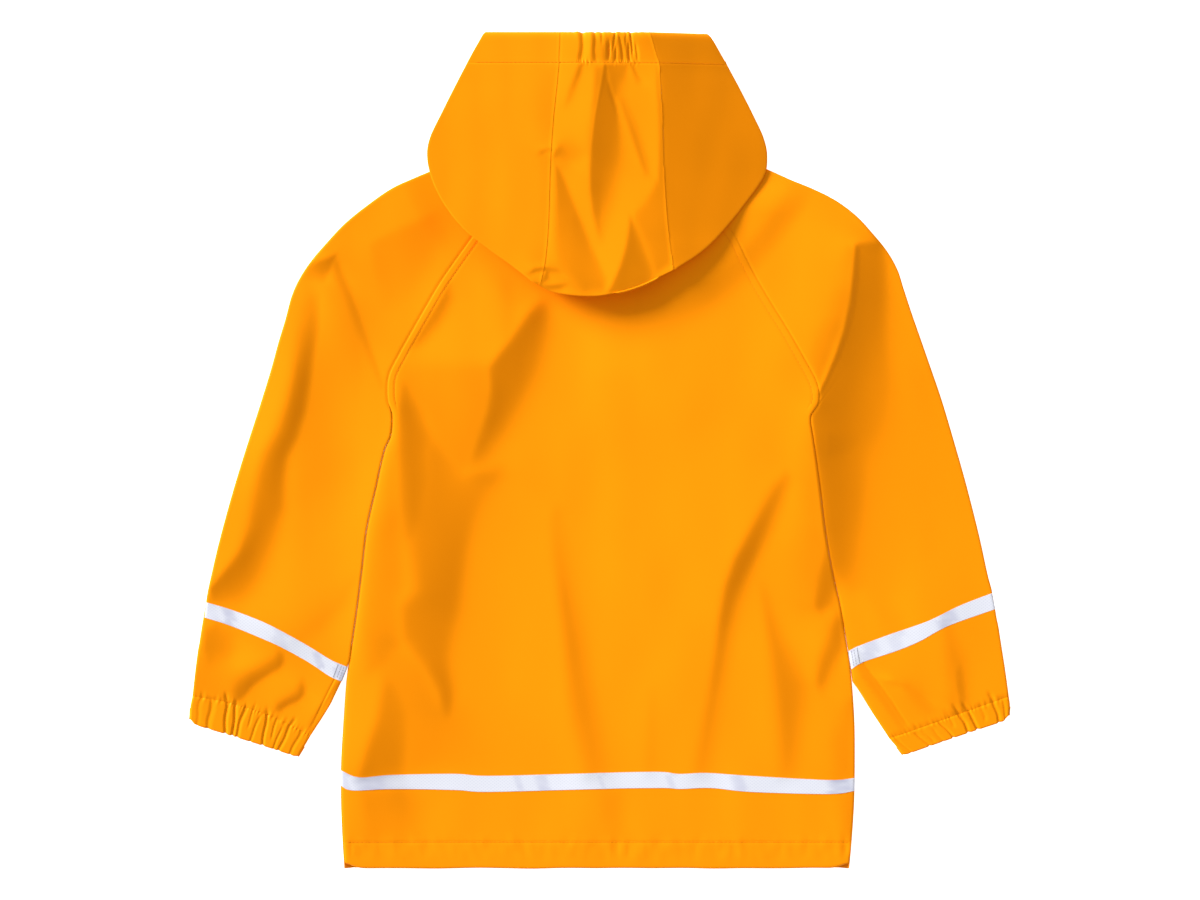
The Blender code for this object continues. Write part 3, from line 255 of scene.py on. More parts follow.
# Folds, as planes that turn away from the upper left: a plan outline, and at each of its points
# the softness of the edge there and how steeply the cloth falls, in degrees.
BODY_FOLDS = (
    ("long fold", (
        (-49.6, 126.4, 3.4, 9.5), (-42, 126.4, 5, 9.5), (-43.7, 101.2, 6.7, 9), (-49.6, 74.3, 7.6, 8.5),
        (-59.6, 47.5, 7.6, 8.5), (-77.3, 18.9, 7.6, 8), (-94.1, -4.6, 7.6, 6), (-109.2, -16.4, 6.7, 3.5),
        (-115.1, -23.1, 5, 2.5), (-104.2, 7.1, 3.4, 7), (-94.9, 32.3, 3.4, 9), (-91.6, 50.8, 3.4, 9.5),
        (-93.2, 69.3, 2.5, 8), (-84, 81.1, 2.5, 9), (-73.9, 94.5, 3.4, 9), (-62.2, 111.3, 3.4, 9.5))),
    ("beside the fold", (
        (-168, 71, 6.7, 2.6), (-134.4, 72.7, 6.7, 2.8), (-92.4, 71, 5, 3.2), (-90.7, 42.4, 5, 3.4),
        (-102.5, 5.5, 5, 3.6), (-115.1, -23.1, 5, 4), (-134.4, -1.3, 8.4, 3.4), (-147.8, 25.6, 6.7, 3),
        (-164.6, 55.9, 3.4, 2.6))),
    ("plane edge", (
        (-166.3, 59.2, 2.5, 5.4), (-160.4, 52.5, 5, 6.5), (-151.2, 32.3, 6.7, 8.6), (-142.8, 8.8, 7.6, 9.2),
        (-139.4, -24.8, 8.4, 8.6), (-142.8, -58.4, 8.4, 8.1), (-155.4, -79.4, 8.4, 7),
        (-164.6, -75.2, 8.4, 7), (-167.2, -41.6, 6.7, 8.1), (-168.8, 0.4, 5, 9.2),
        (-168.8, 32.3, 3.4, 8.6))),
    ("left plane", (
        (-147.8, 17.2, 6.7, 6.7), (-129.4, -3.8, 5, 7.3), (-112.6, -19.7, 4.2, 6.2), (-84, -16.4, 6.7, 5.6),
        (-81.5, -26.5, 6.7, 5.6), (-92.4, -51.7, 5.9, 7.3), (-102.5, -79.4, 5, 7.8),
        (-107.5, -108.8, 5, 8.4), (-110.9, -135.7, 5, 8.4), (-115.9, -167.6, 5, 8.4), (-118.4, -197, 4.2, 9),
        (-125.2, -221.3, 3.4, 9), (-130.2, -226.4, 2.5, 7.8), (-136.1, -201.2, 4.2, 7.8),
        (-147.8, -179.3, 5, 7.8), (-166.3, -159.2, 4.2, 6.7), (-168, -128.9, 5, 6.7),
        (-152.9, -117.2, 8.4, 7.8), (-157.9, -85.3, 10.1, 7.8), (-163.8, -58.4, 10.1, 7.3))),
    ("left strip", (
        (-171.4, 8.8, 5, 3.6), (-164.6, -58.4, 8.4, 5.4), (-164.6, -159.2, 6.7, 5.4),
        (-176.4, -182.7, 6.7, 4.7), (-194.9, -186.1, 6.7, 3.6), (-199.9, -142.4, 6.7, 3.6),
        (-194.9, -92, 6.7, 2.9), (-184.8, -41.6, 8.4, 2.9))),
    ("left strip foot", (
        (-193.2, -159.2, 8.4, 2.4), (-168, -164.2, 6.7, 3.3), (-147.8, -182.7, 6.7, 4),
        (-136.1, -209.6, 5, 4.4), (-109.2, -204.5, 6.7, 3.7), (-95.8, -223, 5, 4), (-89.9, -251.6, 3.4, 4.4),
        (-89.9, -263.3, 3.4, 4.4), (-105.8, -268.4, 3.4, 4.6), (-159.6, -270.1, 5, 4),
        (-164.6, -243.2, 6.7, 3.7), (-181.4, -201.2, 6.7, 2.9))),
    ("left foot", (
        (-181.4, -186.1, 3.4, 4), (-168, -197.8, 5, 5), (-159.6, -221.3, 6.7, 6), (-161.3, -249.9, 6.7, 6.5),
        (-164.6, -275.1, 5, 6.5), (-202.4, -275.1, 2.5, 6.5), (-196.6, -253.3, 2.5, 6),
        (-186.5, -223, 3.4, 5.5))),
    ("under the tape", (
        (-199.9, -286.9, 3.4, 4), (-168, -285.2, 6.7, 4.5), (-142.8, -293.6, 8.4, 2.5),
        (-151.2, -323.8, 8.4, 2), (-196.6, -325.5, 5, 2.5))),
    ("left streak", (
        (-37.8, -46.6, 3.4, 2.5), (-32.8, -51.7, 5, 3), (-27.7, -83.6, 6.7, 4), (-21.8, -118.9, 7.6, 5),
        (-12.6, -159.2, 7.6, 5.5), (-5, -201.2, 6.7, 5), (3.4, -239, 6.7, 4.6), (10.9, -275.1, 6.7, 4.2),
        (-10.1, -275.1, 5.9, 3.8), (-18.5, -243.2, 5.9, 4), (-25.2, -209.6, 5, 4.6),
        (-28.6, -171.8, 4.2, 5.5), (-33.6, -128.9, 3.4, 5.5), (-38.6, -92, 4.2, 4.5),
        (-41.2, -61.7, 4.2, 3))),
    ("right streak", (
        (156.2, -18.9, 2.5, 5), (158.8, -24.8, 5, 5), (151.2, -43.3, 5, 6.5), (141.1, -66.8, 5, 8),
        (130.2, -90.3, 2.5, 9), (121, -110.5, 4.2, 9), (113.4, -130.6, 5.9, 8.5), (107.5, -159.2, 6.7, 7),
        (103.3, -189.4, 6.7, 5.5), (97.4, -223, 7.6, 4.5), (90.7, -275.1, 7.6, 3.5), (79, -275.1, 5, 3),
        (84.8, -239.8, 4.2, 3.8), (90.7, -209.6, 3.4, 4.6), (96.6, -172.6, 2.5, 6), (100.8, -139, 2.5, 8.5),
        (105.8, -112.1, 2.5, 9), (113.4, -90.3, 2.5, 9), (124.3, -70.1, 2.5, 8), (136.1, -48.3, 3.4, 7),
        (146.2, -29.8, 3.4, 6))),
    ("low streak", (
        (135.2, -110.5, 2.5, 3), (141.1, -125.6, 4.2, 4), (149.5, -150.8, 5.9, 5), (161.3, -174.3, 6.7, 5.5),
        (173, -194.5, 5, 5), (174.7, -204.5, 5, 4.5), (170.5, -229.7, 6.7, 4.6), (165.5, -275.1, 7.6, 4),
        (151.2, -275.1, 5, 4), (151.2, -243.2, 5, 5), (149.5, -214.6, 5, 5.5), (145.3, -186.1, 4.2, 5),
        (141.1, -155.8, 3.4, 4.5), (136.9, -127.3, 2.5, 4))),
    ("right strip", (
        (176.4, 32.3, 3.4, 3), (181.4, 0.4, 3.4, 3.4), (184.8, -41.6, 4.2, 3), (193.2, -85.3, 4.2, 3),
        (183.1, -134, 5, 3), (168, -134, 10.1, 2), (152.9, -97, 10.1, 1.6), (164.6, -58.4, 10.1, 1.6),
        (171.4, -8, 8.4, 2))),
    ("right notch", (
        (188.2, -81.9, 2.5, 6), (198.2, -85.3, 2.5, 6.5), (199.9, -113.8, 2.5, 7), (195.7, -128.9, 4.2, 6),
        (184.8, -135.7, 2.5, 8), (179.8, -130.6, 1.7, 8), (182.3, -110.5, 3.4, 7))),
    ("right notch low", (
        (198.2, -135.7, 3.4, 5), (205, -142.4, 2.5, 6.5), (203.3, -167.6, 3.4, 6), (194.9, -181, 3.4, 6.5),
        (186.5, -202, 2.5, 7), (181.4, -196.1, 1.7, 7), (184.8, -176, 3.4, 6), (191.5, -157.5, 3.4, 5.5))),
    ("right foot", (
        (206.6, -209.6, 3.4, 3), (212.5, -209.6, 2.5, 4), (215, -276.8, 2.5, 5.5), (198.2, -276.8, 5.9, 5),
        (196.6, -246.5, 6.7, 4), (201.6, -224.7, 5.9, 3))),
    ("right foot under the tape", (
        (199.9, -286.9, 5.9, 3), (215, -286.9, 2.5, 4), (213.4, -327.2, 2.5, 4), (203.3, -327.2, 5, 2.5))),
    ("middle thread", (
        (42, -201.2, 4.2, 1.5), (47, -201.2, 4.2, 1.6), (46.2, -275.1, 5, 2), (38.6, -275.1, 4.2, 2))),
    ("middle under the tape", (
        (0, -286.9, 5, 2), (18.5, -286.9, 5, 3), (20.2, -325.5, 5, 2.5), (5, -325.5, 6.7, 1.6))),
    ("neck wedge", (
        (-126.8, 139.9, 2.5, 6), (-124.3, 128.1, 4.2, 6), (-134.4, 107.9, 4.2, 6.5), (-149.5, 91.1, 4.2, 6),
        (-159.6, 85.3, 2.5, 5), (-147, 106.3, 2.5, 6.5), (-135.2, 124.7, 2.5, 7))),
    ("neck dip", (
        (-84, 146.6, 6.7, 2.2), (-72.2, 143.2, 6.7, 2.6), (-70.6, 109.6, 6.7, 2.6), (-79.8, 82.7, 5, 2.2),
        (-84, 109.6, 6.7, 2))),
)
LEFT_SLEEVE_FOLDS = (
    ("outer shade", (
        (-247, 139.9, 6.7, 2.8), (-236, 129.8, 4.2, 3.9), (-236, 102.9, 3.4, 5.5), (-240.2, 79.4, 3.4, 7.2),
        (-243.6, 55.9, 3.4, 9.4), (-247.8, 32.3, 3.4, 9.9), (-254.5, 10.5, 3.4, 9.4),
        (-262.9, -6.3, 3.4, 9.9), (-265.4, -24.8, 4.2, 9.9), (-265.4, -46.6, 5, 9.4),
        (-273.8, -75.2, 7.6, 8.8), (-283.9, -100.4, 8.4, 7.2), (-294, -118.9, 6.7, 5.5),
        (-305.8, -130.6, 6.7, 4.4), (-325.9, -125.6, 3.4, 6.6), (-326.8, -115.5, 1.7, 9.9),
        (-315.8, -102.1, 2.5, 9.9), (-302.4, -85.3, 3.4, 9.4), (-294, -63.4, 5, 8.8),
        (-290.6, -39.9, 5.9, 8.8), (-285.6, -16.4, 5.9, 9.4), (-280.6, -1.3, 5.9, 8.8),
        (-268.8, 17.2, 5.9, 8.8), (-261.2, 39.1, 5, 9.4), (-256.2, 62.6, 5, 8.8), (-252.8, 86.1, 5.9, 6.6),
        (-251.2, 111.3, 6.7, 4.4))),
    ("upper arm", (
        (-226.8, 153.3, 5, 1.7), (-218.4, 149.9, 2.5, 1.8), (-208.3, 124.7, 2.5, 1.6),
        (-194.9, 89.5, 2.5, 1.3), (-183.1, 55.9, 2.5, 1.1), (-179.8, 32.3, 5, 1), (-186.5, -4.6, 8.4, 0.8),
        (-210, -29.8, 10.1, 0.7), (-252, -41.6, 11.8, 1), (-250.3, 8.8, 8.4, 1.4), (-241.9, 59.2, 6.7, 1.4),
        (-235.2, 109.6, 5, 1.3))),
    ("crease", (
        (-223.4, 162.5, 1.7, 6.6), (-220.1, 158.3, 1.7, 6.6), (-208.3, 129.8, 1.7, 5.5),
        (-194.9, 92.8, 1.7, 4.4), (-181.4, 54.2, 1.7, 3.3), (-184.8, 52.5, 4.2, 2.8), (-199.9, 89.5, 5, 3.3),
        (-213.4, 124.7, 5, 4.4), (-225.1, 149.9, 4.2, 6.6))),
    ("crease pocket", (
        (-221.8, 163.4, 1.7, 9), (-225.1, 151.6, 2.5, 9.5), (-231.8, 144.1, 4.2, 8), (-243.6, 146.6, 5, 6),
        (-245.3, 155, 3.4, 7), (-235.2, 159.2, 1.7, 9))),
    ("shoulder rim", (
        (-192.4, 173.5, 2.5, 2.4), (-174.7, 183.5, 3.4, 2.4), (-154.6, 191.9, 3.4, 2.9),
        (-136.1, 202, 4.2, 4), (-121, 213.8, 4.2, 5.2), (-114.2, 203.7, 4.2, 5.2), (-124.3, 183.5, 6.7, 4),
        (-137.8, 163.4, 8.4, 2.9), (-152.9, 141.5, 8.4, 2.2), (-168, 121.4, 8.4, 1.6),
        (-181.4, 121.4, 6.7, 1.6), (-188.2, 146.6, 4.2, 2.2))),
    ("forearm shade", (
        (-330.7, -149.4, 1.7, 5.85), (-321.2, -145.7, 4.2, 5.85), (-309.4, -154.8, 6.7, 5.85),
        (-307.5, -165.7, 6.7, 5.85), (-313.9, -174.9, 6.7, 5.85), (-328.5, -178.5, 6.7, 5.2),
        (-332.9, -167.6, 2.5, 6.5))),
    ("forearm fold", (
        (-270.1, -168.5, 2.5, 5.2), (-266, -171.2, 2.1, 6.24), (-264.9, -176.7, 1.7, 7.8),
        (-268.2, -182.5, 1.7, 8.84), (-280.1, -189.5, 1.7, 9.36), (-291.1, -197.1, 1.7, 9.36),
        (-299.3, -206.8, 1.7, 9.36), (-303.8, -212.4, 1.7, 8.32), (-307.4, -208.7, 2.5, 8.32),
        (-308, -202.3, 4.2, 7.8), (-303.8, -193.1, 5, 7.28), (-293.8, -185, 5, 7.28),
        (-281.1, -178.5, 4.2, 6.76), (-272.8, -173.5, 3.4, 5.72))),
    ("wrist fold", (
        (-250.9, -193.1, 2.5, 4.42), (-247.8, -197.7, 1.7, 6.63), (-247.8, -204.1, 1.7, 8.29),
        (-253.3, -210.3, 1.3, 9.39), (-262.4, -213.9, 1.3, 9.94), (-269, -219.1, 1.3, 8.84),
        (-273.3, -217.8, 1.7, 8.29), (-271, -212.4, 3.4, 7.73), (-262.8, -207.7, 3.4, 7.73),
        (-255.4, -203.2, 3.4, 6.63))),
    ("inner wrist", (
        (-220.8, -192.8, 1, 4.5), (-216.7, -193.5, 1.3, 5), (-231.8, -216, 1.3, 5.5),
        (-242.7, -236, 1.7, 5.5), (-249.1, -236, 1.7, 4.5), (-240.8, -221.4, 1, 4.5),
        (-229, -206.8, 1, 4.5))),
    ("elbow shade", (
        (-204.1, -103.7, 6.7, 2), (-211.7, -128.9, 6.7, 2.6), (-233.5, -150.8, 6.7, 2.6),
        (-260.4, -164.2, 8.4, 2), (-255.4, -150.8, 10.1, 1.6), (-228.5, -122.2, 10.1, 1.6))),
)
RIGHT_SLEEVE_FOLDS = (
    ("arm shade", (
        (216.7, 174.3, 1.7, 8.5), (235.2, 174.3, 2.5, 8.5), (240.2, 158.3, 4.2, 8.5), (241.9, 126.4, 5, 9),
        (242.8, 92.8, 6.7, 9), (246.1, 65.9, 8.4, 8.5), (249.5, 39.1, 10.1, 7.5), (248.6, 8.8, 10.1, 7),
        (241.9, -19.7, 10.1, 6.5), (235.2, -46.6, 8.4, 7), (231.8, -75.2, 8.4, 7), (230.2, -98.7, 6.7, 6.5),
        (221.8, -115.5, 4.2, 6), (211.7, -115.5, 5, 6.5), (199.9, -108.8, 4.2, 7), (192.4, -97, 2.5, 8.5),
        (187.3, -66.8, 2.5, 9), (183.1, -33.2, 2.5, 8.5), (179.8, 0.4, 1.7, 10), (176.4, 30.7, 1.7, 10),
        (182.3, 40.7, 1.7, 10), (189.8, 59.2, 1.7, 9.5), (199.1, 79.4, 1.7, 9.5), (206.6, 99.5, 1.7, 9.5),
        (212.5, 124.7, 1.7, 9.5), (215, 151.6, 1.7, 9))),
    ("arm dark", (
        (186.5, 22.3, 4.2, 11), (208.3, 25.6, 10.1, 10.5), (231.8, 22.3, 13.4, 9), (228.5, -1.3, 11.8, 9),
        (206.6, -11.3, 6.7, 10), (184.8, -9.7, 4.2, 11))),
    ("arm crease", (
        (214.2, 171.8, 1.3, 15), (218.4, 171.8, 1.7, 15), (216.7, 143.2, 1.7, 16), (214.2, 123.1, 1.7, 17),
        (208.3, 97.9, 1.7, 17), (200.8, 77.7, 1.7, 17), (191.5, 57.5, 1.7, 16), (185.6, 45.8, 1.3, 14),
        (182.3, 45.8, 1.3, 14), (189, 59.2, 1.3, 16), (198.2, 81.1, 1.3, 17), (205, 101.2, 1.3, 17),
        (210, 124.7, 1.3, 17), (212.5, 149.9, 1.3, 16))),
    ("before the crease", (
        (206.6, 173.5, 5, 3), (212.5, 170.1, 1.7, 4), (210, 126.4, 1.7, 4.5), (201.6, 99.5, 1.7, 5),
        (191.5, 74.3, 1.7, 5.5), (183.1, 55.9, 1.7, 5), (174.7, 77.7, 4.2, 3.4), (179.8, 96.2, 6.7, 3),
        (191.5, 116.3, 6.7, 2.4), (198.2, 143.2, 6.7, 2))),
    ("shoulder edge", (
        (216.7, 200.3, 1.7, 5), (225.1, 194.5, 1.7, 7), (235.2, 181.9, 1.7, 8), (241.1, 172.6, 2.5, 8),
        (235.2, 173.5, 1.7, 8), (226.8, 184.4, 2.5, 7))),
    ("elbow shade", (
        (228.5, -92, 6.7, 4), (238.6, -117.2, 6.7, 3), (252, -135.7, 6.7, 3), (258.7, -154.1, 6.7, 2),
        (243.6, -155.8, 6.7, 2.4), (226.8, -128.9, 5, 2.6), (221.8, -115.5, 3.4, 3))),
    ("outer arm", (
        (273.8, -58.4, 5, 1.4), (282.2, -58.4, 5, 1.6), (282.2, -85.3, 5, 1.4), (273.8, -85.3, 5, 1.4))),
    ("outer arm high", (
        (252, 76, 10.1, 2), (275.5, 65.9, 6.7, 2), (289, 25.6, 5, 2.4), (285.6, 12.2, 6.7, 2),
        (262.1, 25.6, 10.1, 1.6))),
    ("forearm plane", (
        (289, -144.1, 4.2, 3.12), (297.4, -150.8, 5, 3.75), (309.1, -176, 6.7, 4.38),
        (309.1, -201.2, 5, 3.75), (295.7, -212.9, 5, 3.75), (290.6, -184.4, 5.9, 3.75))),
    ("forearm dark", (
        (301.1, -176.7, 1.7, 5), (306, -178.5, 4.2, 4.5), (311.6, -187.7, 5.9, 4.5),
        (313.3, -202.3, 4.2, 5.5), (311.9, -215, 1.7, 9), (307.9, -213.2, 1.7, 9.5), (302.4, -213.2, 2.5, 9),
        (299.3, -198.7, 2.5, 8.5), (298, -186.7, 2.1, 7.5))),
    ("underarm", (
        (212.5, -179.3, 1.7, 5), (216.7, -172.6, 2.5, 5), (233.5, -196.1, 2.5, 5), (258.7, -233.1, 2.5, 6),
        (253.7, -236.5, 1.7, 6), (231.8, -206.2, 2.5, 5))),
    ("forearm groove", (
        (236.3, -193.1, 1.3, 5.62), (247.2, -193.1, 1.7, 7.88), (258.2, -197.3, 1.7, 9),
        (269.1, -204.6, 1.7, 10.12), (280.1, -212.9, 1.7, 10.12), (291.1, -219.2, 1.7, 10.12),
        (302.1, -217.4, 1.7, 10.12), (309.4, -212.1, 1.3, 10.12), (310, -216.3, 1.3, 10.12),
        (302.1, -222.3, 1.3, 10.12), (289.2, -225.5, 1.3, 10.12), (276.4, -219.1, 2.1, 9),
        (263.7, -209.9, 2.1, 9), (250.9, -199.9, 2.1, 7.88))),
)
HOOD_FOLDS = (
    ("trough", (
        (4.4, 322.2, 1, 8), (6.9, 308.6, 1, 9), (11.1, 294.7, 1.3, 9), (15, 279.4, 1.5, 8.5),
        (16.9, 264.2, 3.4, 8), (17, 248.9, 5, 7), (14.5, 232.2, 6.3, 6.5), (10.5, 217, 6.7, 6),
        (6.8, 203.1, 6.7, 5.2), (4.2, 190.6, 5.9, 4.4), (1.1, 175.3, 4.2, 3.6), (-3.1, 185.1, 1.8, 6),
        (-6.2, 200.3, 1.7, 7.5), (-8.1, 218.4, 1.5, 8.5), (-8.3, 236.4, 1.3, 9), (-7.2, 254.4, 1.2, 9),
        (-5.2, 271.1, 1, 9.5), (-2.7, 286.3, 0.9, 10), (0, 300.2, 0.8, 10), (2.7, 312.7, 0.8, 10))),
    ("trough line", (
        (3.9, 323.1, 0.7, 13), (5.8, 320.4, 0.8, 13), (4.2, 308.6, 1, 14), (0.7, 291.9, 1.5, 13.5),
        (-2.1, 276.7, 1.8, 12), (-3.9, 260, 2.1, 10.5), (-4.4, 246.1, 2.5, 9.5), (-6.7, 246.1, 1, 9.5),
        (-5.8, 262.8, 0.8, 11), (-3.9, 279.4, 0.8, 13), (-1.1, 294.7, 0.8, 14), (1.7, 310, 0.8, 14))),
    ("trough side", (
        (4.4, 310, 0.8, 12), (6.7, 306.5, 0.8, 12.5), (10.8, 294.7, 1, 12.5), (13.9, 285, 1.3, 11),
        (15, 273.8, 2.1, 9), (11.1, 276.7, 2.5, 10), (8.1, 289.2, 2.1, 12), (5.2, 298.8, 1.7, 12.5))),
    ("left of the trough", (
        (-4.4, 319.7, 1.3, 4), (2.7, 319.7, 0.8, 5), (1.1, 308.6, 0.8, 6), (-2.7, 291.9, 0.8, 6.5),
        (-5.2, 276.7, 0.8, 5), (-7.2, 257.2, 1.3, 4), (-8.6, 236.4, 1.7, 3.5), (-10.4, 236.4, 3.4, 2.5),
        (-9.4, 257.2, 3.4, 3), (-7.7, 276.7, 2.5, 3.5), (-5.8, 296.1, 1.7, 4.5), (-5, 310, 1.3, 4.5))),
    ("below the casing", (
        (5.8, 322.7, 0.8, 7), (23.6, 322.7, 1, 6), (22.2, 314.2, 2.5, 5.5), (18.1, 305.8, 4.2, 5),
        (15.2, 296.1, 4.2, 4.5), (11.8, 296.1, 1, 5), (8.3, 307.2, 0.8, 6.5))),
    ("notch", (
        (24.7, 323.1, 0.8, 9), (27.1, 322.2, 0.8, 9.5), (30.6, 314.8, 1, 9), (34, 308.6, 1.7, 6),
        (31.6, 308.6, 2.5, 6), (27.5, 315.5, 1.7, 8))),
    ("streak", (
        (16, 295.4, 1.7, 4), (19.4, 293.3, 2.5, 4.5), (25, 282.2, 3.4, 5.5), (30.6, 268.3, 3.4, 6),
        (35.4, 254.4, 3.4, 6), (38.9, 241.9, 3.4, 5.5), (41, 230.9, 2.5, 4.5), (37.5, 230.9, 1.7, 5.5),
        (33.6, 240.5, 1.5, 6.5), (29.4, 253, 1.5, 6.5), (25.2, 265.5, 1.5, 6), (21.5, 276.7, 1.5, 5.5),
        (18.3, 286.3, 1.5, 5))),
    ("beside the right seam", (
        (47.5, 321.7, 1.3, 4), (49.3, 312.7, 1.3, 5), (52.1, 287.8, 0.8, 6), (53.1, 257.2, 0.8, 6.5),
        (53.9, 229.5, 0.8, 6), (54.8, 207.2, 1, 5.5), (52.7, 207.2, 2.5, 4.5), (48.6, 223.9, 1.7, 5),
        (49.3, 240.5, 1.3, 6), (49.7, 264.2, 1.3, 6), (48.6, 287.8, 1.3, 5.5), (47.2, 304.4, 1.3, 4.5))),
    ("right of foot", (
        (47.9, 225.3, 1.7, 4.5), (54.4, 215.5, 1.3, 5), (56.9, 180.9, 1.3, 5.5), (59, 155.9, 1.7, 5.5),
        (47.2, 148.9, 2.5, 5), (38.9, 169.7, 4.2, 4.5), (30.6, 190.6, 2.5, 4), (29.2, 197.6, 1.7, 3.5),
        (37.5, 207.2, 2.5, 3.5), (44.4, 218.4, 1.7, 4))),
    ("foot shade", (
        (25, 194.7, 1.3, 6.5), (30.6, 183.6, 3.4, 7.5), (36.1, 168.4, 4.2, 8), (41.6, 154.5, 4.2, 7.5),
        (44.4, 143.4, 2.5, 8), (33.3, 135.1, 1.7, 9), (19.4, 131.6, 1.7, 9), (6.9, 132.3, 1.7, 8.5),
        (11.1, 140.6, 1.5, 8), (16.7, 153.1, 1.5, 8.5), (21.5, 168.4, 1.5, 8.5), (23.9, 182.2, 1.5, 8))),
    ("seam shade", (
        (-37.2, 237.8, 1, 6), (-34, 235, 1.5, 6), (-28.5, 222.5, 1.5, 6.5), (-22.5, 207.2, 1.7, 7),
        (-16.7, 193.4, 1.8, 7.5), (-11.1, 179.5, 2.1, 7), (-6.2, 167, 2.5, 6.5), (-0.7, 155.9, 2.5, 6),
        (4.8, 142, 2.5, 6), (2.7, 133.7, 2.5, 6.5), (-12.5, 133.7, 3.4, 6), (-27.7, 146.2, 4.2, 5),
        (-35.4, 155.9, 4.2, 4.5), (-37.5, 173.9, 3.4, 5), (-36.8, 194.7, 2.5, 5.5), (-36.4, 215.5, 1.7, 6))),
    ("pinch right", (
        (-34.7, 257.2, 3.4, 3.5), (-25, 257.2, 5, 3.5), (-12.5, 248.9, 5, 3), (-16.7, 240.5, 5, 3),
        (-27.7, 239.2, 3.4, 4), (-34.7, 243.4, 1.7, 5), (-38.6, 244.7, 0.8, 9), (-38.6, 248.2, 0.8, 9),
        (-35.4, 252.4, 1, 7))),
    ("pinch left", (
        (-51.4, 246.1, 0.8, 7), (-50, 249.6, 1, 7.5), (-45.1, 251.9, 1, 8), (-40.6, 251.4, 0.8, 8),
        (-40.6, 248.6, 0.8, 7), (-45.1, 249.6, 1.3, 6), (-48.6, 246.8, 1, 6))),
    ("left gather", (
        (-18.1, 321.1, 1, 7), (-14.2, 322.7, 0.8, 8.5), (-16, 314.2, 1.2, 8), (-19.4, 305.8, 2.1, 7),
        (-23.6, 294.7, 3.4, 5.5), (-28.5, 287.8, 3.4, 4), (-26.1, 298.8, 2.5, 5), (-21.9, 310, 1.7, 6.5))),
    ("gathered casing", (
        (-6.7, 346.7, 1.7, 4), (6.9, 346.7, 1.3, 6), (25, 346.7, 1.7, 4.5), (26.4, 326.6, 1.7, 5.5),
        (5.6, 325, 1.3, 7), (-6.2, 325.9, 1.7, 4))),
    ("casing right", (
        (31.9, 346.7, 2.5, 2), (42.3, 346.7, 1.3, 3), (47.5, 325.2, 1.3, 3), (33.3, 325.9, 3.4, 2))),
    ("ring top", (
        (-60, 147, 1.7, 7), (-55, 152, 1.3, 8), (-45, 153.2, 1, 9), (-35.8, 151.2, 1.3, 9),
        (-31.6, 147, 1.7, 7), (-36.6, 148.7, 1.3, 9), (-45, 150.3, 1.3, 9), (-53.3, 149.1, 1.3, 8))),
    ("ring foot", (
        (-61.6, 142, 1.7, 7), (-55, 141.2, 1.3, 8), (-45, 137.8, 1.3, 8), (-35, 138.7, 1.3, 8),
        (-28.3, 138.7, 2.5, 6), (-33.3, 134.5, 1.7, 8), (-45, 133.7, 1.3, 8), (-56.6, 137, 1.3, 8))),
    ("ring seam", (
        (-45, 150.3, 0.8, 8), (-42.5, 150.3, 0.8, 8), (-43.3, 142.8, 1.3, 8), (-49.1, 139.5, 1.3, 8),
        (-47.5, 144.5, 1.3, 8))),
    ("left panel", (
        (-53.3, 250.3, 8.4, 1.2), (-41.6, 241.9, 1.7, 1.6), (-42.5, 183.6, 1.7, 1.8), (-45.8, 160.3, 2.5, 2),
        (-56.6, 157, 5, 1.6), (-66.6, 175.3, 11.8, 1), (-60, 225.3, 13.4, 1))),
    ("left panel top", (
        (-45, 316.9, 3.4, 1.2), (-35, 320.2, 1.7, 1.6), (-38.3, 283.6, 1.7, 1.6), (-40, 256.9, 2.5, 2),
        (-51.6, 256.9, 6.7, 1.6), (-50, 291.9, 6.7, 1))),
)

SLEEVE_OUTER = {-1: SLEEVE_LEFT_OUTER, 1: SLEEVE_RIGHT_OUTER}
SLEEVE_ENDS = {-1: SLEEVE_LEFT_ENDS, 1: SLEEVE_RIGHT_ENDS}
# A sleeve's bow grows from the first of these rows to the second one: row and bow.
SLEEVE_BOWS = {-1: ((12, 0.0), (17, 5.0)), 1: ((16, 0.0), (18, 2.0))}
CUFFS = {-1: CUFF_LEFT, 1: CUFF_RIGHT}

# Tape edges as lines from the left or inner end to the right or outer end.
TAPE_LINES = {
    "back": (
        ((-217.6, -268.4), (-202.4, -274.3), (-175.6, -272.6), (-122.6, -271.7), (-91.6, -273.4),
         (0.0, -270.9), (49.6, -270.0), (66.4, -271.7), (89.9, -270.9), (127.7, -273.4),
         (192.4, -276.8), (214.2, -275.1)),
        ((-217.6, -281.0), (-208.3, -285.2), (-175.6, -284.3), (-122.6, -285.2), (-92.4, -286.8),
         (0.0, -284.3), (52.1, -283.5), (67.2, -284.3), (93.2, -283.5), (127.7, -286.8),
         (192.4, -288.5), (214.0, -286.0)),
    ),
    "sleeve_left": (
        ((-211.6, -181.7), (-217.6, -179.3), (-226.8, -175.1), (-244.4, -164.2), (-263.8, -153.3),
         (-283.9, -143.2), (-310.8, -133.1), (-330.4, -127.3)),
        ((-216.4, -193.8), (-226.8, -189.4), (-244.4, -177.7), (-267.1, -165.1), (-283.9, -157.5),
         (-310.8, -146.6), (-332.0, -139.9)),
    ),
    "sleeve_right": (
        ((208.4, -169.0), (215.0, -165.1), (241.9, -155.0), (275.5, -143.2), (301.6, -130.6),
         (329.6, -119.7)),
        ((210.9, -183.9), (220.9, -177.7), (248.6, -168.4), (268.8, -160.0), (292.3, -147.4),
         (332.2, -133.1)),
    ),
}

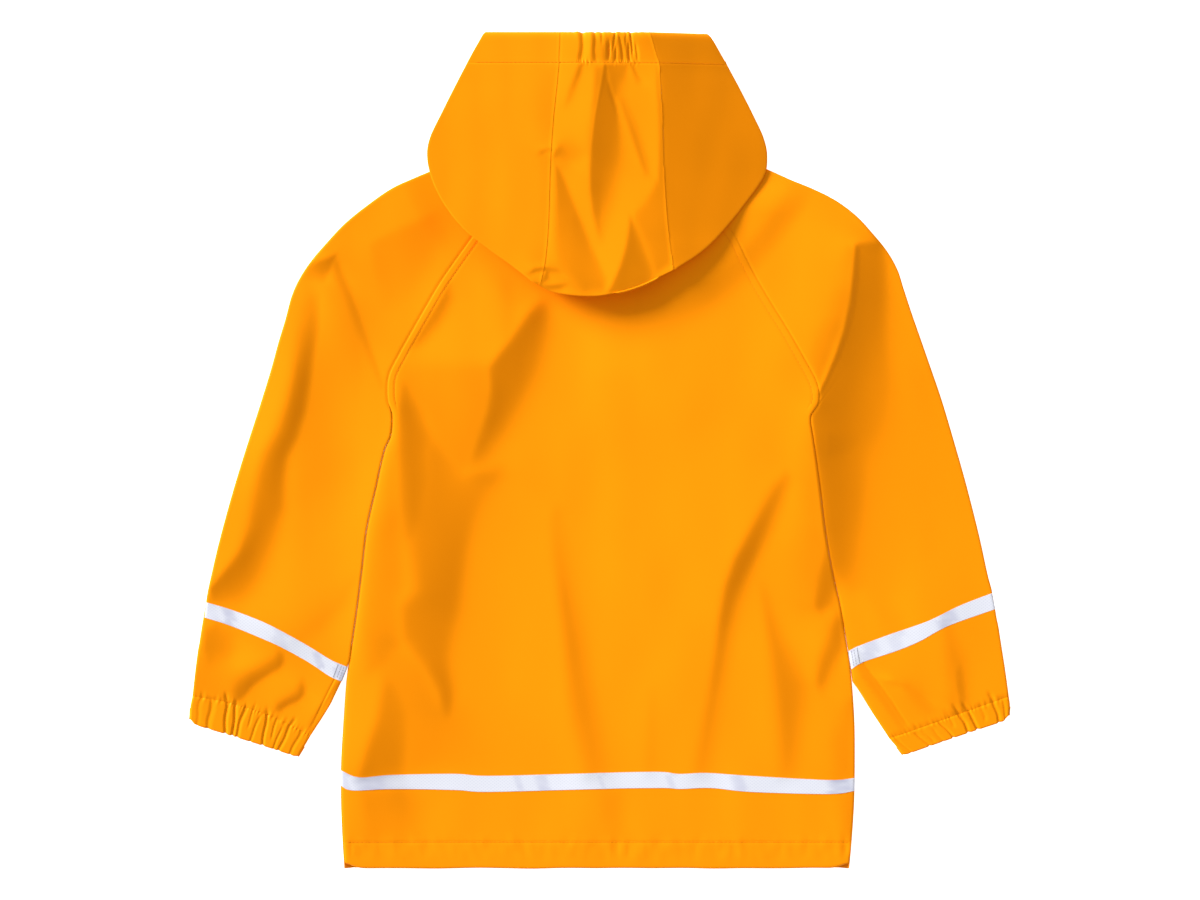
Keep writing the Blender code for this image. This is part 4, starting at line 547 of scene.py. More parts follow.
# Broad lifts of the upper cloth: x, y, half length along x and y, height.
LIFTS = (
    ("upper back", 20, 90, 110, 90, 2.2),
    ("lower back", 10, -190, 120, 110, 1.4),
    ("left of the back", -110, -70, 60, 120, 2.0),
    ("left sleeve", -262, 0, 30, 110, 2.6),
    ("left upper arm", -222, 120, 26, 50, 2.2),
    ("left forearm", -285, -150, 40, 50, 1.6),
    ("right sleeve", 255, 20, 34, 110, 2.4),
    ("right forearm", 278, -130, 40, 60, 1.8),
)

# Mesh sizes: rows along a piece, columns across it, and columns in from its edges in millimetres.
STEPS = {"back": 2.8 * MM, "front": 6.0 * MM, "sleeve": 2.3 * MM}
COLUMNS = {"back": 130, "front": 26, "sleeve": 84, "sleeve_under": 12, "hood_centre": 78,
           "hood_side": 40, "cuff": 150, "cuff_under": 50, "casing": 420, "tape": 240, "tape_front": 30,
           "tape_sleeve": 80, "tape_sleeve_under": 20}
UNDER_EDGE = (0.0, 0.08, 0.25, 0.5, 0.85, 1.3, 1.85, 2.5, 3.2)
LOWER_EDGE = (0.0, 0.1, 0.35, 0.8, 1.5, 2.5, 3.8, 5.4, 7.2, 9.2, 11.5)
SEAM_EDGE = (0.0, 0.5, 1.1, 1.9, 3.0)
HOOD_EDGE_COLUMNS = (0.0, 0.05, 0.2, 0.5, 1.0, 1.9, 3.1, 4.8, 7.2, 10.2, 14.0)
CLOSING_EDGE = (0.0, 0.6, 1.5, 3.0, 8.0, 14.0, 20.0, 27.0, 30.0, 33.0)
TAPE_ROWS = (0.0, 0.03, 0.1, 0.25, 0.4, 0.55, 0.7, 0.85, 0.96, 1.0)  # shares of its width
UNDER_ROUND = 11.0 * MM  # how far in from a folded edge the underside reaches the floor
EDGE_CLEARANCE = 0.05 * MM  # between the body's side seam and the sleeve beside it

TAPE_STAND = 0.24 * MM  # from the cloth to the tape's outer surface
TAPE = 0.18 * MM  # its thickness
TAPE_LENGTH = 130 * MM  # how long a sleeve's tape is across the sleeve
OVERLAP_HALF = 15.0 * MM  # the fronts overlap by twice this
OVERLAP_RISE = 1.1 * MM  # how far the right front lifts where it laps over the left one
OVERLAP_REACH = 33 * MM  # how far in from its closing edge that starts
TAPE_BAND = (-291 * MM, -265 * MM)  # y between which the hem's tape runs
RIGHT_TAPE_END = 21.5 * MM  # from the middle to the end of the right front's tape
TAPE_JOINS = (3.0, 5.4, 8.4)  # from the tape's inner end to its stitches and its folded end
# Soft darker streaks in the tape: place along x, half width and strength.
TAPE_STREAKS = (
    (-325, 7, 0.3), (-309, 5, 0.8), (-266, 6, 0.45), (-234, 3.5, 0.7), (-214, 6, 0.9),
    (-189, 15, 0.75), (-66, 3, 0.5), (-46, 5.5, 0.65), (4, 2, 0.4), (62, 3, 0.45), (119, 6, 0.65),
    (204, 10, 0.9), (229, 7, 0.6), (251, 6, 0.4), (294, 8, 0.8),
)
# Press studs down the closing edge.
STUD_PLACES_Y = (172.0, 72.0, -28.0, -128.0, -228.0)
STUD_RADIUS = 6.0 * MM
STUD_CAP = 0.8 * MM
STUD_CLEAR = 0.05 * MM  # between a stud's cap and the cloth over it
# A stud's outline from its axis: radius and height in millimetres.
STUD_PROFILE = (
    (4.4, 0.0), (5.2, 0.0), (5.8, 0.15), (6.0, 0.4), (5.85, 0.7), (5.5, 0.8), (2.5, 0.8), (2.5, 2.7),
    (4.9, 2.7), (5.3, 2.85), (5.4, 3.1), (5.2, 3.4), (4.6, 3.55), (3.9, 3.45), (3.3, 3.1), (2.2, 3.1),
    (1.8, 3.3), (1.2, 3.35),
)
# A stitch: shares of its length, and how far it swells there.
STITCH_PROFILE = ((-0.5, 0.35), (-0.4, 0.85), (-0.2, 1.0), (0.2, 1.0), (0.4, 0.85), (0.5, 0.35))
STITCH_SIDES = 6

HOOD_MIDDLE = (0.0, 250 * MM)
RISE = 5.0 * MM  # how far the back swells beside the hood's lower right edge
RISE_REACH = 46 * MM  # how far out from the hood that goes
RISE_INSIDE = 28 * MM  # how far in under the hood it goes
RISE_WAY = (0.87, -0.5)  # where it is, as seen from the hood's middle
RISE_TOP_Y = 234 * MM  # it starts below this
BASE_LIFT = 2.5 * MM  # how far the upper cloth lies higher away from the hood
SLOPE_GAIN = 1.9  # the folds' slopes are this many times what their tables say
SLOPE_WAY = math.radians(150)  # folds fall away from this direction
SIDEWAYS_WEIGHT = 0.12  # how much a fold resists change along itself


# ------------ plan geometry

def metres(rows):
    return np.array(rows, float) * MM


def along(table, places):
    """Values of a table's columns at fractional row numbers, on Catmull-Rom curves."""
    places = np.clip(np.asarray(places, float), 0.0, len(table) - 1.0)
    first = np.minimum(places.astype(int), len(table) - 2)
    t = (places - first)[:, None]
    rows = np.vstack([2 * table[0] - table[1], table, 2 * table[-1] - table[-2]])
    a, b, c, d = (rows[first + k] for k in range(4))
    return 0.5 * (2 * b + (c - a) * t + (2 * a - 5 * b + 4 * c - d) * t ** 2
                  + (3 * b - a - 3 * c + d) * t ** 3)


def spaced(table, step):
    """Fractional row numbers no further apart than `step` in the table's first two columns."""
    places = [0.0]
    for row, (a, b) in enumerate(zip(table, table[1:])):
        count = max(1, math.ceil(np.hypot(*(b - a)[:2]) / step))
        places += [row + (k + 1) / count for k in range(count)]
    return np.array(places)


def curve(points, step=3.0 * MM):
    table = metres(points)
    return along(table, spaced(table, step))


def ease(t):
    t = np.clip(t, 0.0, 1.0)
    return t * t * (3 - 2 * t)


def rounding(distance, width):
    """0 at a folded edge and 1 from `width` inward, along a quarter of an ellipse."""
    return np.sqrt(np.maximum(0.0, 1.0 - np.clip(1.0 - distance / width, 0.0, 1.0) ** 2))


def nearest(line, points):
    """Distance to a polyline, 1 or -1 for its left or right side, and where along it, 0 to 1."""
    a, span = line[:-1, :2], np.diff(line[:, :2], axis=0)
    gap = points[:, None, :] - a[None]
    t = np.clip((gap * span).sum(-1) / np.maximum((span ** 2).sum(-1), 1e-12), 0.0, 1.0)
    gap -= t[..., None] * span
    distance = np.hypot(gap[..., 0], gap[..., 1])
    best = distance.argmin(1)
    each = np.arange(len(points))
    side = np.sign(span[best, 0] * gap[each, best, 1] - span[best, 1] * gap[each, best, 0])
    return distance[each, best], side, (best + t[each, best]) / len(a)


def is_inside(outline, points):
    inside = np.zeros(len(points), bool)
    for a, b in zip(outline, np.roll(outline, -1, axis=0)):
        crosses = (a[1] > points[:, 1]) != (b[1] > points[:, 1])
        reach = a[0] + (b[0] - a[0]) * (points[:, 1] - a[1]) / ((b[1] - a[1]) or 1e-12)
        inside ^= crosses & (points[:, 0] < reach)
    return inside


def edge_shares(columns_in, length, limit=0.45):
    """Shares of a section's length for the columns at one end, squeezed in where it is short."""
    shares = np.array(columns_in) * MM / length
    return shares * min(1.0, limit / max(shares[-1], 1e-9))


def sections(start, end, bow, columns, at_start=EDGE_COLUMNS, at_end=EDGE_COLUMNS):
    """Plan points of many sections at once, with each point's distance from both ends."""
    across = end - start
    length = np.hypot(across[:, 0], across[:, 1])
    shares = []
    for row in length:
        head = edge_shares(at_start, row)
        tail = edge_shares(at_end, row)
        middle = np.linspace(head[-1], 1.0 - tail[-1], columns + 1)[1:-1]
        shares.append(np.concatenate([head, middle, 1.0 - tail[::-1]]))
    s = np.array(shares)[..., None]
    up = np.stack([-across[:, 1], across[:, 0]], -1) / length[:, None]
    up *= np.where(across[:, :1] > 0, 1.0, -1.0)
    lean = up[:, None, :] * (bow[:, None, None] * 4 * s * (1 - s))
    plan = start[:, None, :] + across[:, None, :] * s + lean
    return plan, s[..., 0] * length[:, None], (1 - s[..., 0]) * length[:, None]


def read(table, y, column=1):
    """A column of a table whose first column is y, in metres."""
    rows = metres(table)
    rows = rows[rows[:, 0].argsort()]
    return np.interp(y, rows[:, 0], rows[:, column])


# ------------ shape of the cloth

def fold_slopes(folds, points, nearby=2 * MM):
    """How steeply the cloth rises towards the upper left at plan points."""
    steepest = np.zeros(len(points))
    for _, outline in folds:
        corners = metres(outline)
        ring = np.vstack([corners, corners[:1]])
        reach = 3 * corners[:, 2].max()
        low, high = corners[:, :2].min(0) - reach, corners[:, :2].max(0) + reach
        near = np.nonzero(((points > low) & (points < high)).all(1))[0]
        distance, _, share = nearest(ring, points[near])
        place = share * len(corners)
        first = np.minimum(place.astype(int), len(corners) - 1)
        soft = ring[first, 2] + (ring[first + 1, 2] - ring[first, 2]) * (place - first)
        distance = np.where(is_inside(corners, points[near]), distance, -distance)
        gap = points[near][:, None, :] - corners[None, :, :2]
        weight = 1.0 / ((gap ** 2).sum(-1) + nearby ** 2)
        slope = (weight * corners[:, 3]).sum(1) / weight.sum(1) / MM
        slope = np.tan(np.radians(SLOPE_GAIN * slope))
        steepest[near] = np.maximum(steepest[near], slope * 0.5 * (1 + np.tanh(distance / soft)))
    return steepest


class Relief:
    """The smoothest surface with given folds, on a square grid, level again about `settle` away."""

    def __init__(self, folds, settle, middle, half, step):
        self.corner, self.step = np.array(middle) - half, step
        side = np.arange(0, 2 * half, step)
        across, up = np.meshgrid(self.corner[0] + side, self.corner[1] + side)
        slopes = fold_slopes(folds, np.stack([across.ravel(), up.ravel()], -1))
        waves = 2 * np.pi * np.fft.fftfreq(len(side), step)
        wave_x, wave_y = np.meshgrid(waves, waves)
        way_x, way_y = math.cos(SLOPE_WAY), math.sin(SLOPE_WAY)
        wanted = np.fft.fft2(slopes.reshape(across.shape))
        ahead = wave_x * way_x + wave_y * way_y
        sideways = wave_y * way_x - wave_x * way_y
        total = ahead ** 2 + SIDEWAYS_WEIGHT * sideways ** 2 + settle ** -2
        self.height = np.fft.ifft2(-1j * ahead * wanted / total).real

    def __call__(self, points):
        """Heights at plan points, by smooth interpolation between the grid's own."""
        place = (points - self.corner) / self.step
        first = np.floor(place).astype(int)
        t = place - first
        total = np.zeros(len(points))
        weights = [((2 - t) * t - 1) * t / 2, ((3 * t - 5) * t * t + 2) / 2,
                   ((4 - 3 * t) * t + 1) * t / 2, (t - 1) * t * t / 2]
        for row, weight_y in enumerate(weights):
            for column, weight_x in enumerate(weights):
                value = self.height[first[:, 1] + row - 1, first[:, 0] + column - 1]
                total += weight_x[:, 0] * weight_y[:, 1] * value
        return total


CLOTH_RELIEF = Relief(BODY_FOLDS + LEFT_SLEEVE_FOLDS + RIGHT_SLEEVE_FOLDS, settle=160 * MM,
                      middle=(0.0, 0.0), half=420 * MM, step=1.2 * MM)
HOOD_RELIEF = Relief(HOOD_FOLDS, settle=100 * MM, middle=HOOD_MIDDLE, half=180 * MM, step=0.6 * MM)


def ripple(points, amount, across, down, seed):
    """Faint unevenness, `across` and `down` metres from hump to hump."""
    return amount * np.array([noise.noise(Vector((x / across, y / down, seed))) for x, y in points])


def groove(distance, width, depth):
    return -depth * np.exp(-(distance / width) ** 2)


def edge_sink(distance):
    """How far the cloth sinks towards an edge that rolls under."""
    return EDGE_SINK * np.exp(-distance / SINK_REACH)


def soft_floor(height, lowest, blend=1.2 * MM):
    """A height that is never under the lowest one, and comes down to it smoothly."""
    lift = height - lowest
    return lowest + 0.5 * (lift + np.sqrt(lift ** 2 + blend ** 2))


BODY_TABLE = metres(BODY_SECTIONS)
RAGLAN = {side: along(BODY_TABLE[:ARMPIT + 1, cut], np.arange(0, ARMPIT + 0.01, 0.25))
          for side, cut in ((-1, slice(0, 2)), (1, slice(2, 4)))}
HOOD_TABLE = metres(HOOD_STATIONS)
HOOD_EDGE = {-1: HOOD_TABLE[:, 0:2], 1: HOOD_TABLE[:, 6:8]}
CROWN = curve(HOOD_CROWN)
HOOD_OUTLINE = np.vstack([along(HOOD_EDGE[-1], spaced(HOOD_EDGE[-1], 4 * MM)), CROWN,
                          along(HOOD_EDGE[1], spaced(HOOD_EDGE[1], 4 * MM))[::-1]])


def rise_beside_hood(points, distance):
    """How far the back swells where the hood's lower right edge presses on the cloth behind it."""
    way = points - np.array(HOOD_MIDDLE)
    way /= np.maximum(np.linalg.norm(way, axis=1, keepdims=True), 1e-9)
    faces = ease((way[:, 0] * RISE_WAY[0] + way[:, 1] * RISE_WAY[1] - 0.72) / 0.2)
    faces *= ease((RISE_TOP_Y - points[:, 1]) / (36 * MM))
    beyond = np.clip(1.0 - distance / RISE_REACH, 0.0, 1.0)
    beside = np.where(beyond < 0.25, 2 * beyond ** 2, beyond - 0.125) / 0.875
    return RISE * faces * np.where(distance < 0, ease(1 + distance / RISE_INSIDE), beside)


def inside_hood(points):
    """Signed distance from the hood's outline, negative inside it."""
    distance, _, _ = nearest(HOOD_OUTLINE, points)
    return np.where(is_inside(HOOD_OUTLINE, points), -distance, distance)


def cloth_top(points):
    """Height of the outer surface of back and sleeves away from their edges."""
    distance = inside_hood(points)
    fade = ease((distance + 8.0 * MM) / (34.0 * MM))
    lift = sum(height * MM * np.exp(-((points[:, 0] - x * MM) / (half_x * MM)) ** 2
                                    - ((points[:, 1] - y * MM) / (half_y * MM)) ** 2)
               for _, x, y, half_x, half_y, height in LIFTS)
    height = lift * ease((distance + 8.0 * MM) / (80.0 * MM)) + CLOTH_RELIEF(points)
    height += ripple(points, amount=0.45 * MM, across=34 * MM, down=75 * MM, seed=3.0)
    base = FLAT_TOP + BASE_LIFT * ease((distance + 9.0 * MM) / (130.0 * MM))
    return soft_floor(base + height * fade, LOWEST_TOP) + rise_beside_hood(points, distance)


def back_top(points):
    """The back's outer surface, with the strip of its raglan seams and the hem's stitching."""
    top = cloth_top(points)
    for side in (-1, 1):
        distance, _, share = nearest(RAGLAN[side], points)
        stays = ease((1 - share) / RAGLAN_FADE) * RAGLAN_STRENGTH[side]
        strip = 1.0 - ease((distance - TOPSTITCH + 0.6 * MM) / (0.9 * MM))
        top += stays * (0.1 * MM * strip + groove(distance - TOPSTITCH, *TOPSTITCH_GROOVE)
                        + groove(distance, *RAGLAN_GROOVE))
    top += groove(points[:, 1] - HEM_STITCH_Y, *HEM_GROOVE)
    pucker = ripple(points, amount=0.5 * MM, across=5.5 * MM, down=16 * MM, seed=8.0)
    top += pucker * np.exp(-((points[:, 1] - HEM_STITCH_Y + 5 * MM) / (9 * MM)) ** 2)
    top -= 0.9 * MM * (1 - rounding(points[:, 1] - HEM_Y, 1.6 * MM))
    return top


def sleeve_top(points):
    """A sleeve's outer surface, with its raglan seam and the seam that shows near the cuff."""
    top = cloth_top(points)
    for side in (-1, 1):
        distance, _, share = nearest(RAGLAN[side], points)
        stays = ease((1 - share) / RAGLAN_FADE)
        top += stays * groove(distance, *SLEEVE_RAGLAN_GROOVE)
        beside, _, _ = nearest(metres(SLEEVE_SEAM_LINES[side]), points)
        top += groove(beside, *SLEEVE_SEAM_GROOVE)
    return top


# ------------ meshes

def mesh_piece(name, points, faces, material):
    mesh = bpy.data.meshes.new(name)
    mesh.from_pydata(points, [], faces)
    mesh.update()
    mesh.shade_smooth()
    mesh.materials.append(material)
    piece = bpy.data.objects.new(name, mesh)
    bpy.context.scene.collection.objects.link(piece)
    return piece


def grid_faces(rows, columns, flip=False, skip=None):
    """Faces between the points of a grid, but for the ones that are skipped."""
    faces = []
    for r in range(rows - 1):
        for c in range(columns - 1):
            if skip is not None and skip[r, c]:
                continue
            face = (r * columns + c, (r + 1) * columns + c,
                    (r + 1) * columns + c + 1, r * columns + c + 1)
            faces.append(face[::-1] if flip else face)
    return faces


def cloth_piece(name, grid, material, thickness=CLOTH, flip=False, skip=None):
    """A thin shell: the grid is its outer surface, and its thickness goes inward."""
    rows, columns = grid.shape[:2]
    faces = grid_faces(rows, columns, flip, skip)
    used = np.zeros(rows * columns, bool)
    used[np.unique(faces)] = True
    number = np.cumsum(used) - 1
    points = grid.reshape(-1, 3)[used]
    faces = [tuple(int(number[i]) for i in face) for face in faces]
    piece = mesh_piece(name, points.tolist(), faces, material)
    edges_used = [loop.edge_index for loop in piece.data.loops]
    uses = np.bincount(edges_used, minlength=len(piece.data.edges))
    sharp = piece.data.attributes.new("sharp_edge", "BOOLEAN", "EDGE")
    sharp.data.foreach_set("value", uses == 1)
    wall = piece.modifiers.new("cloth thickness", "SOLIDIFY")
    wall.thickness = thickness
    wall.offset = -1.0
    wall.use_even_offset = False
    return piece


def from_start(plan):
    """Each plan point's distance from the first one of its row."""
    return np.linalg.norm(plan - plan[:, :1], axis=-1)


def raised(plan, height):
    """Plan points with their heights added."""
    return np.concatenate([plan, height[..., None]], -1)


def heights(function, plan):
    """A function of plan points, for a grid of them."""
    return function(plan.reshape(-1, 2)).reshape(plan.shape[:-1])


def declare(piece, replaced):
    """Tie a piece to the frame, and hide the frame's parts that it replaces."""
    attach(piece, BODY)
    if replaced:
        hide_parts(*replaced)


# ------------ back and fronts

def back_grid(left, right, bow, closed, inset):
    """The back's outer surface, rounded at its sides where `closed` is 1."""
    start, end = left.copy(), right.copy()
    start[:, 0] += inset
    end[:, 0] -= inset
    plan, from_left, from_right = sections(start, end, bow, COLUMNS["back"])
    top = heights(back_top, plan)
    top -= closed[:, None] * edge_sink(from_left)
    low = np.where(from_left < from_right, top[:, :1], top[:, -1:]) - SEAM_DROP
    share = rounding(np.minimum(from_left, from_right), EDGE_ROUND)
    share = 1.0 - closed[:, None] * (1.0 - share)
    return raised(plan, low + (top - low) * share)


def body_sections(step):
    """Fractional rows of the body, with closer ones at the hem's stitching and its folded edge."""
    places = spaced(BODY_TABLE, step)
    extra = [len(BODY_SECTIONS) - 2 + k for k in (-0.06, -0.03, 0.05, 0.1)]
    extra += [len(BODY_SECTIONS) - 1 - k for k in (0.07, 0.035, 0.015)]
    places = np.unique(np.concatenate([places, extra]))
    rows = along(BODY_TABLE, places)
    return places, rows[:, 0:2], rows[:, 2:4], rows[:, 4]


def make_back(cloth):
    places, left, right, bow = body_sections(STEPS["back"])
    closed = ease(places - ARMPIT + 1.0)
    grid = back_grid(left, right, bow, closed, SEAM_GAP * (1 - closed))
    across = grid[..., 0]
    corner = np.minimum(across - across[:, :1], across[:, -1:] - across)
    near_hem = ease((HEM_Y + 20 * MM - grid[..., 1]) / (20 * MM))
    places = np.stack([across.ravel(), 0 * across.ravel()], -1)
    uneven = ripple(places, amount=0.8 * MM, across=40 * MM, down=1.0, seed=5.0)
    corner_rise = 4.2 * MM * np.exp(-(corner / (9 * MM)) ** 2)
    grid[..., 1] += near_hem * (corner_rise + uneven.reshape(across.shape))
    piece = cloth_piece("back_cloth", grid, cloth)
    declare(piece, ["back_panel"])


def closing_y(middle, neck_share):
    """Where along the closing edge a section ends: the neckline is lower in front."""
    start = 0.5 * (BODY_TABLE[0, 1] + BODY_TABLE[0, 3])
    return middle + (FRONT_NECK_Y - start) * (1 - neck_share)


def front_grid(side):
    """A front's outer surface, which lies on the floor, from its side to its closing edge."""
    places, left, right, _ = body_sections(STEPS["front"])
    edge = (left if side < 0 else right).copy()
    closed = ease(places - ARMPIT + 1.0)
    edge[:, 0] -= side * SEAM_GAP * (1 - closed)
    neck_share = np.minimum(1.0, places / ARMPIT)
    closing_edge = np.stack([np.full(len(places), -side * OVERLAP_HALF),
                             closing_y(0.5 * (left[:, 1] + right[:, 1]), neck_share)], -1)
    bow = FRONT_NECK_BOW * (1 - neck_share) ** 2
    plan, from_side, from_closing = sections(edge, closing_edge, bow, COLUMNS["front"],
                                             at_end=CLOSING_EDGE)
    high = back_top(edge)[:, None] - SEAM_DROP - SEAM_GAP
    share = 1.0 - closed[:, None] * (1.0 - rounding(from_side, UNDER_ROUND))
    height = high - high * share
    if side > 0:
        height += OVERLAP_RISE * ease((OVERLAP_REACH - from_closing) / (3 * MM))
    height += heights(stud_dimple, plan)
    height += TAPE_STAND * tape_mask(plan[..., 1]) * share
    return raised(plan, height)


def make_fronts(cloth):
    for name, side in SIDES:
        grid = front_grid(side)
        piece = cloth_piece("front_cloth_" + name, grid, cloth, flip=side < 0)
        declare(piece, ["front_panel_" + name])


def stud_dimple(points):
    """How far the fronts give way over the caps of the press studs."""
    lift = np.zeros(len(points))
    for y in STUD_PLACES_Y:
        distance = np.hypot(points[:, 0], points[:, 1] - y * MM)
        lift += (STUD_CAP + STUD_CLEAR) * ease((STUD_RADIUS + 3.4 * MM - distance) / (3.0 * MM))
    return lift


def tape_mask(y):
    """1 where the body's tape runs and 0 away from it."""
    low, high = TAPE_BAND
    return ease((y - low) / (3 * MM)) * ease((high - y) / (3 * MM))


# ------------ sleeves and cuffs

def sleeve_table(side):
    """Rows of a sleeve: inner edge, outer edge and bow."""
    rows = []
    first, last = SLEEVE_BOWS[side]
    for number, outer in enumerate(SLEEVE_OUTER[side]):
        inner = BODY_TABLE[number, 0:2] if side < 0 else BODY_TABLE[number, 2:4]
        clear = side * EDGE_CLEARANCE if number >= ARMPIT else 0.0
        bow = np.interp(number, (first[0], last[0]), (first[1], last[1]))
        rows.append((inner[0] + clear, inner[1], outer[0] * MM, outer[1] * MM, bow * MM))
    rows += [tuple(v * MM for v in row) for row in SLEEVE_ENDS[side]]
    return np.array(rows)


def valleys(places, share, table):
    """Depth of sharp valleys between gathers, at places along a seam and shares of its depth."""
    total = np.zeros(np.broadcast(places, share).shape)
    for low, high, near_slope, far_slope, depth, start, end in table:
        moved = low + (high - low) * share
        gap = places - moved - 0.12 * near_slope * np.sin(share * 7 + 40 * low)
        away = np.clip(np.where(gap < 0, -gap / near_slope, gap / far_slope), 0.0, 1.0)
        runs = ease((share - start) / 0.3) * ease((end - share) / 0.2)
        total += depth * MM * runs * (1 - away) ** 2 * (1 + 0.6 * away)
    return total


def seam_puckers(share, distance):
    """Short uneven puckers where the elastic's stitching pulls the cloth."""
    count = share * 31 + 1.2 * np.sin(share * 11)
    uneven = 0.6 + 0.4 * np.sin(share * 57)
    return 0.26 * MM * np.sin(2 * np.pi * count) * uneven * np.exp(-(distance / (2.6 * MM)) ** 2)


def tube_row_heights(lips, from_inner, from_outer, closed, level, upward):
    """Heights across a flattened tube, rounded at its folded edges."""
    at_inner = from_inner < from_outer
    distance = np.minimum(from_inner, from_outer)
    width = EDGE_ROUND if upward > 0 else UNDER_ROUND
    share = rounding(distance, width)
    share = np.where(at_inner, 1.0 - closed[:, None] * (1.0 - share), share)
    lip = np.where(at_inner, lips[0][:, None], lips[1][:, None])
    lip = lip + np.where(at_inner & (distance < width), upward * 0.5 * SEAM_GAP, 0.0)
    return lip + (level - lip) * share


def tube_grid(start, end, bow, closed, top, floor, columns, under_columns):
    """A flattened tube: over the top from its inner edge, and back along the floor."""
    plan, near, far = sections(start, end, bow, columns)
    level = top(plan)
    lips = level[:, 0] - SEAM_DROP, level[:, -1] - SEAM_DROP
    upper = raised(plan, tube_row_heights(lips, near, far, closed, level, 1))
    plan, near, far = sections(start, end, bow, under_columns, LOWER_EDGE, LOWER_EDGE)
    height = tube_row_heights(lips, near, far, closed, floor(plan), -1)
    lower = raised(plan, height)[:, ::-1]
    return np.concatenate([upper, lower[:, 1:]], 1)


def cuff_level(share, side, down):
    """Height of the gathers, from the cuff's seam (`down` 0) to its opening (1)."""
    return CUFF_TOP - valleys(share, down, CUFF_VALLEYS[side])


def make_sleeves(cloth):
    """Both sleeves, which sink by the tape's thickness under it and gather towards the cuff."""
    for name, side in SIDES:
        table = sleeve_table(side)
        places = spaced(table[:, 2:4], STEPS["sleeve"])
        count = len(SLEEVE_OUTER[side])
        taped = ease((places - count + 0.25) / 0.25) * ease((count + 1.2 - places) / 0.2)
        rows = along(table, places)
        inner, outer, bow = rows[:, 0:2], rows[:, 2:4], rows[:, 4]
        way = outer - inner
        way /= np.linalg.norm(way, axis=1, keepdims=True)
        inset = way * (taped * TAPE_STAND)[:, None]
        closed = ease(places - ARMPIT + 1.0)
        end = 0.5 * (rows[-1, 0:2] + rows[-1, 2:4])
        to_cuff = np.linalg.norm(0.5 * (inner + outer) - end, axis=1)

        def top(plan):
            height = heights(sleeve_top, plan)
            length = np.linalg.norm(plan[:, -1] - plan[:, 0], axis=1)
            share = from_start(plan) / length[:, None]
            away = to_cuff[:, None]
            level = cuff_level(share, side, -away / SLEEVE_GATHERS)
            above_cuff = height[-1:] - CUFF_TOP
            height = height - above_cuff * (1 - ease(away / SLEEVE_LEVELS))
            height = soft_floor(height, LOWEST_SLEEVE) + level - CUFF_TOP
            height += seam_puckers(share, away) + groove(away, *CUFF_GROOVE)
            if side > 0:
                beside = closed[:, None] * from_start(plan)
                height -= closed[:, None] * edge_sink(beside)
            return height

        def floor(plan):
            return np.repeat((taped * TAPE_STAND)[:, None], plan.shape[1], 1)

        grid = tube_grid(inner + inset, outer - inset, bow, closed, top, floor,
                         COLUMNS["sleeve"], COLUMNS["sleeve_under"])
        piece = cloth_piece("sleeve_cloth_" + name, grid, cloth, flip=side < 0)
        declare(piece, ["sleeve_" + name])


def make_cuffs(cloth):
    """Both cuffs: a gathered ring whose opening turns in to a short inner layer."""
    for name, side in SIDES:
        table = metres(CUFFS[side])
        places = np.concatenate([np.linspace(0.0, 0.3, 7), np.linspace(0.3, 2.0, 16)[1:]])
        rows = along(table, places)
        inner, outer, bow = rows[:, 0:2], rows[:, 2:4], rows[:, 4]
        down = 0.5 * (rows[-1, 0:2] + rows[-1, 2:4] - rows[0, 0:2] - rows[0, 2:4])
        depth = np.linalg.norm(down)
        down /= depth
        shares_down = places[:, None] / 2.0

        def shaped(columns, upward, inside):
            plan, near, far = sections(inner, outer, bow, columns, UNDER_EDGE, UNDER_EDGE)
            share = near / np.linalg.norm(outer - inner, axis=1)[:, None]
            level = cuff_level(share, side, shares_down)
            level += seam_puckers(share, shares_down * depth)
            level += groove(shares_down * depth, *CUFF_GROOVE)
            if upward < 0:
                level = 0.6 * (CUFF_TOP + 0.3 * MM - level) * ease(shares_down * 4)
            lips = [np.full(len(plan), CUFF_TOP - CUFF_WALL)] * 2
            level -= upward * inside
            height = tube_row_heights(lips, near, far, np.ones(len(plan)), level, upward)
            corner = sum(size * np.exp(-(away / reach) ** 2)
                         for away, (size, reach) in zip((near, far), CUFF_CORNERS))
            pulled = valleys(share, shares_down, CUFF_VALLEYS[side])
            moved = -(1.1 * pulled + 2.2 * MM * corner - 0.6 * MM) * ease(shares_down)
            return raised(plan + down * moved[..., None], height)

        def ring(inside):
            upper = shaped(COLUMNS["cuff"], 1, inside)
            lower = shaped(COLUMNS["cuff_under"], -1, inside)[:, ::-1]
            return np.concatenate([upper, lower[:, 1:]], 1)

        grid = ring(0.0)
        fold = ring(CUFF_WALL)[::-1][1:9]
        lip = 0.5 * (grid[-1] + fold[0])
        lip[:, :2] += down * CUFF_FOLD
        grid = np.concatenate([grid, lip[None], fold], 0)
        piece = cloth_piece("cuff_cloth_" + name, grid, cloth, 0.6 * MM, flip=side < 0)
        declare(piece, ["cuff_" + name])


# ------------ hood

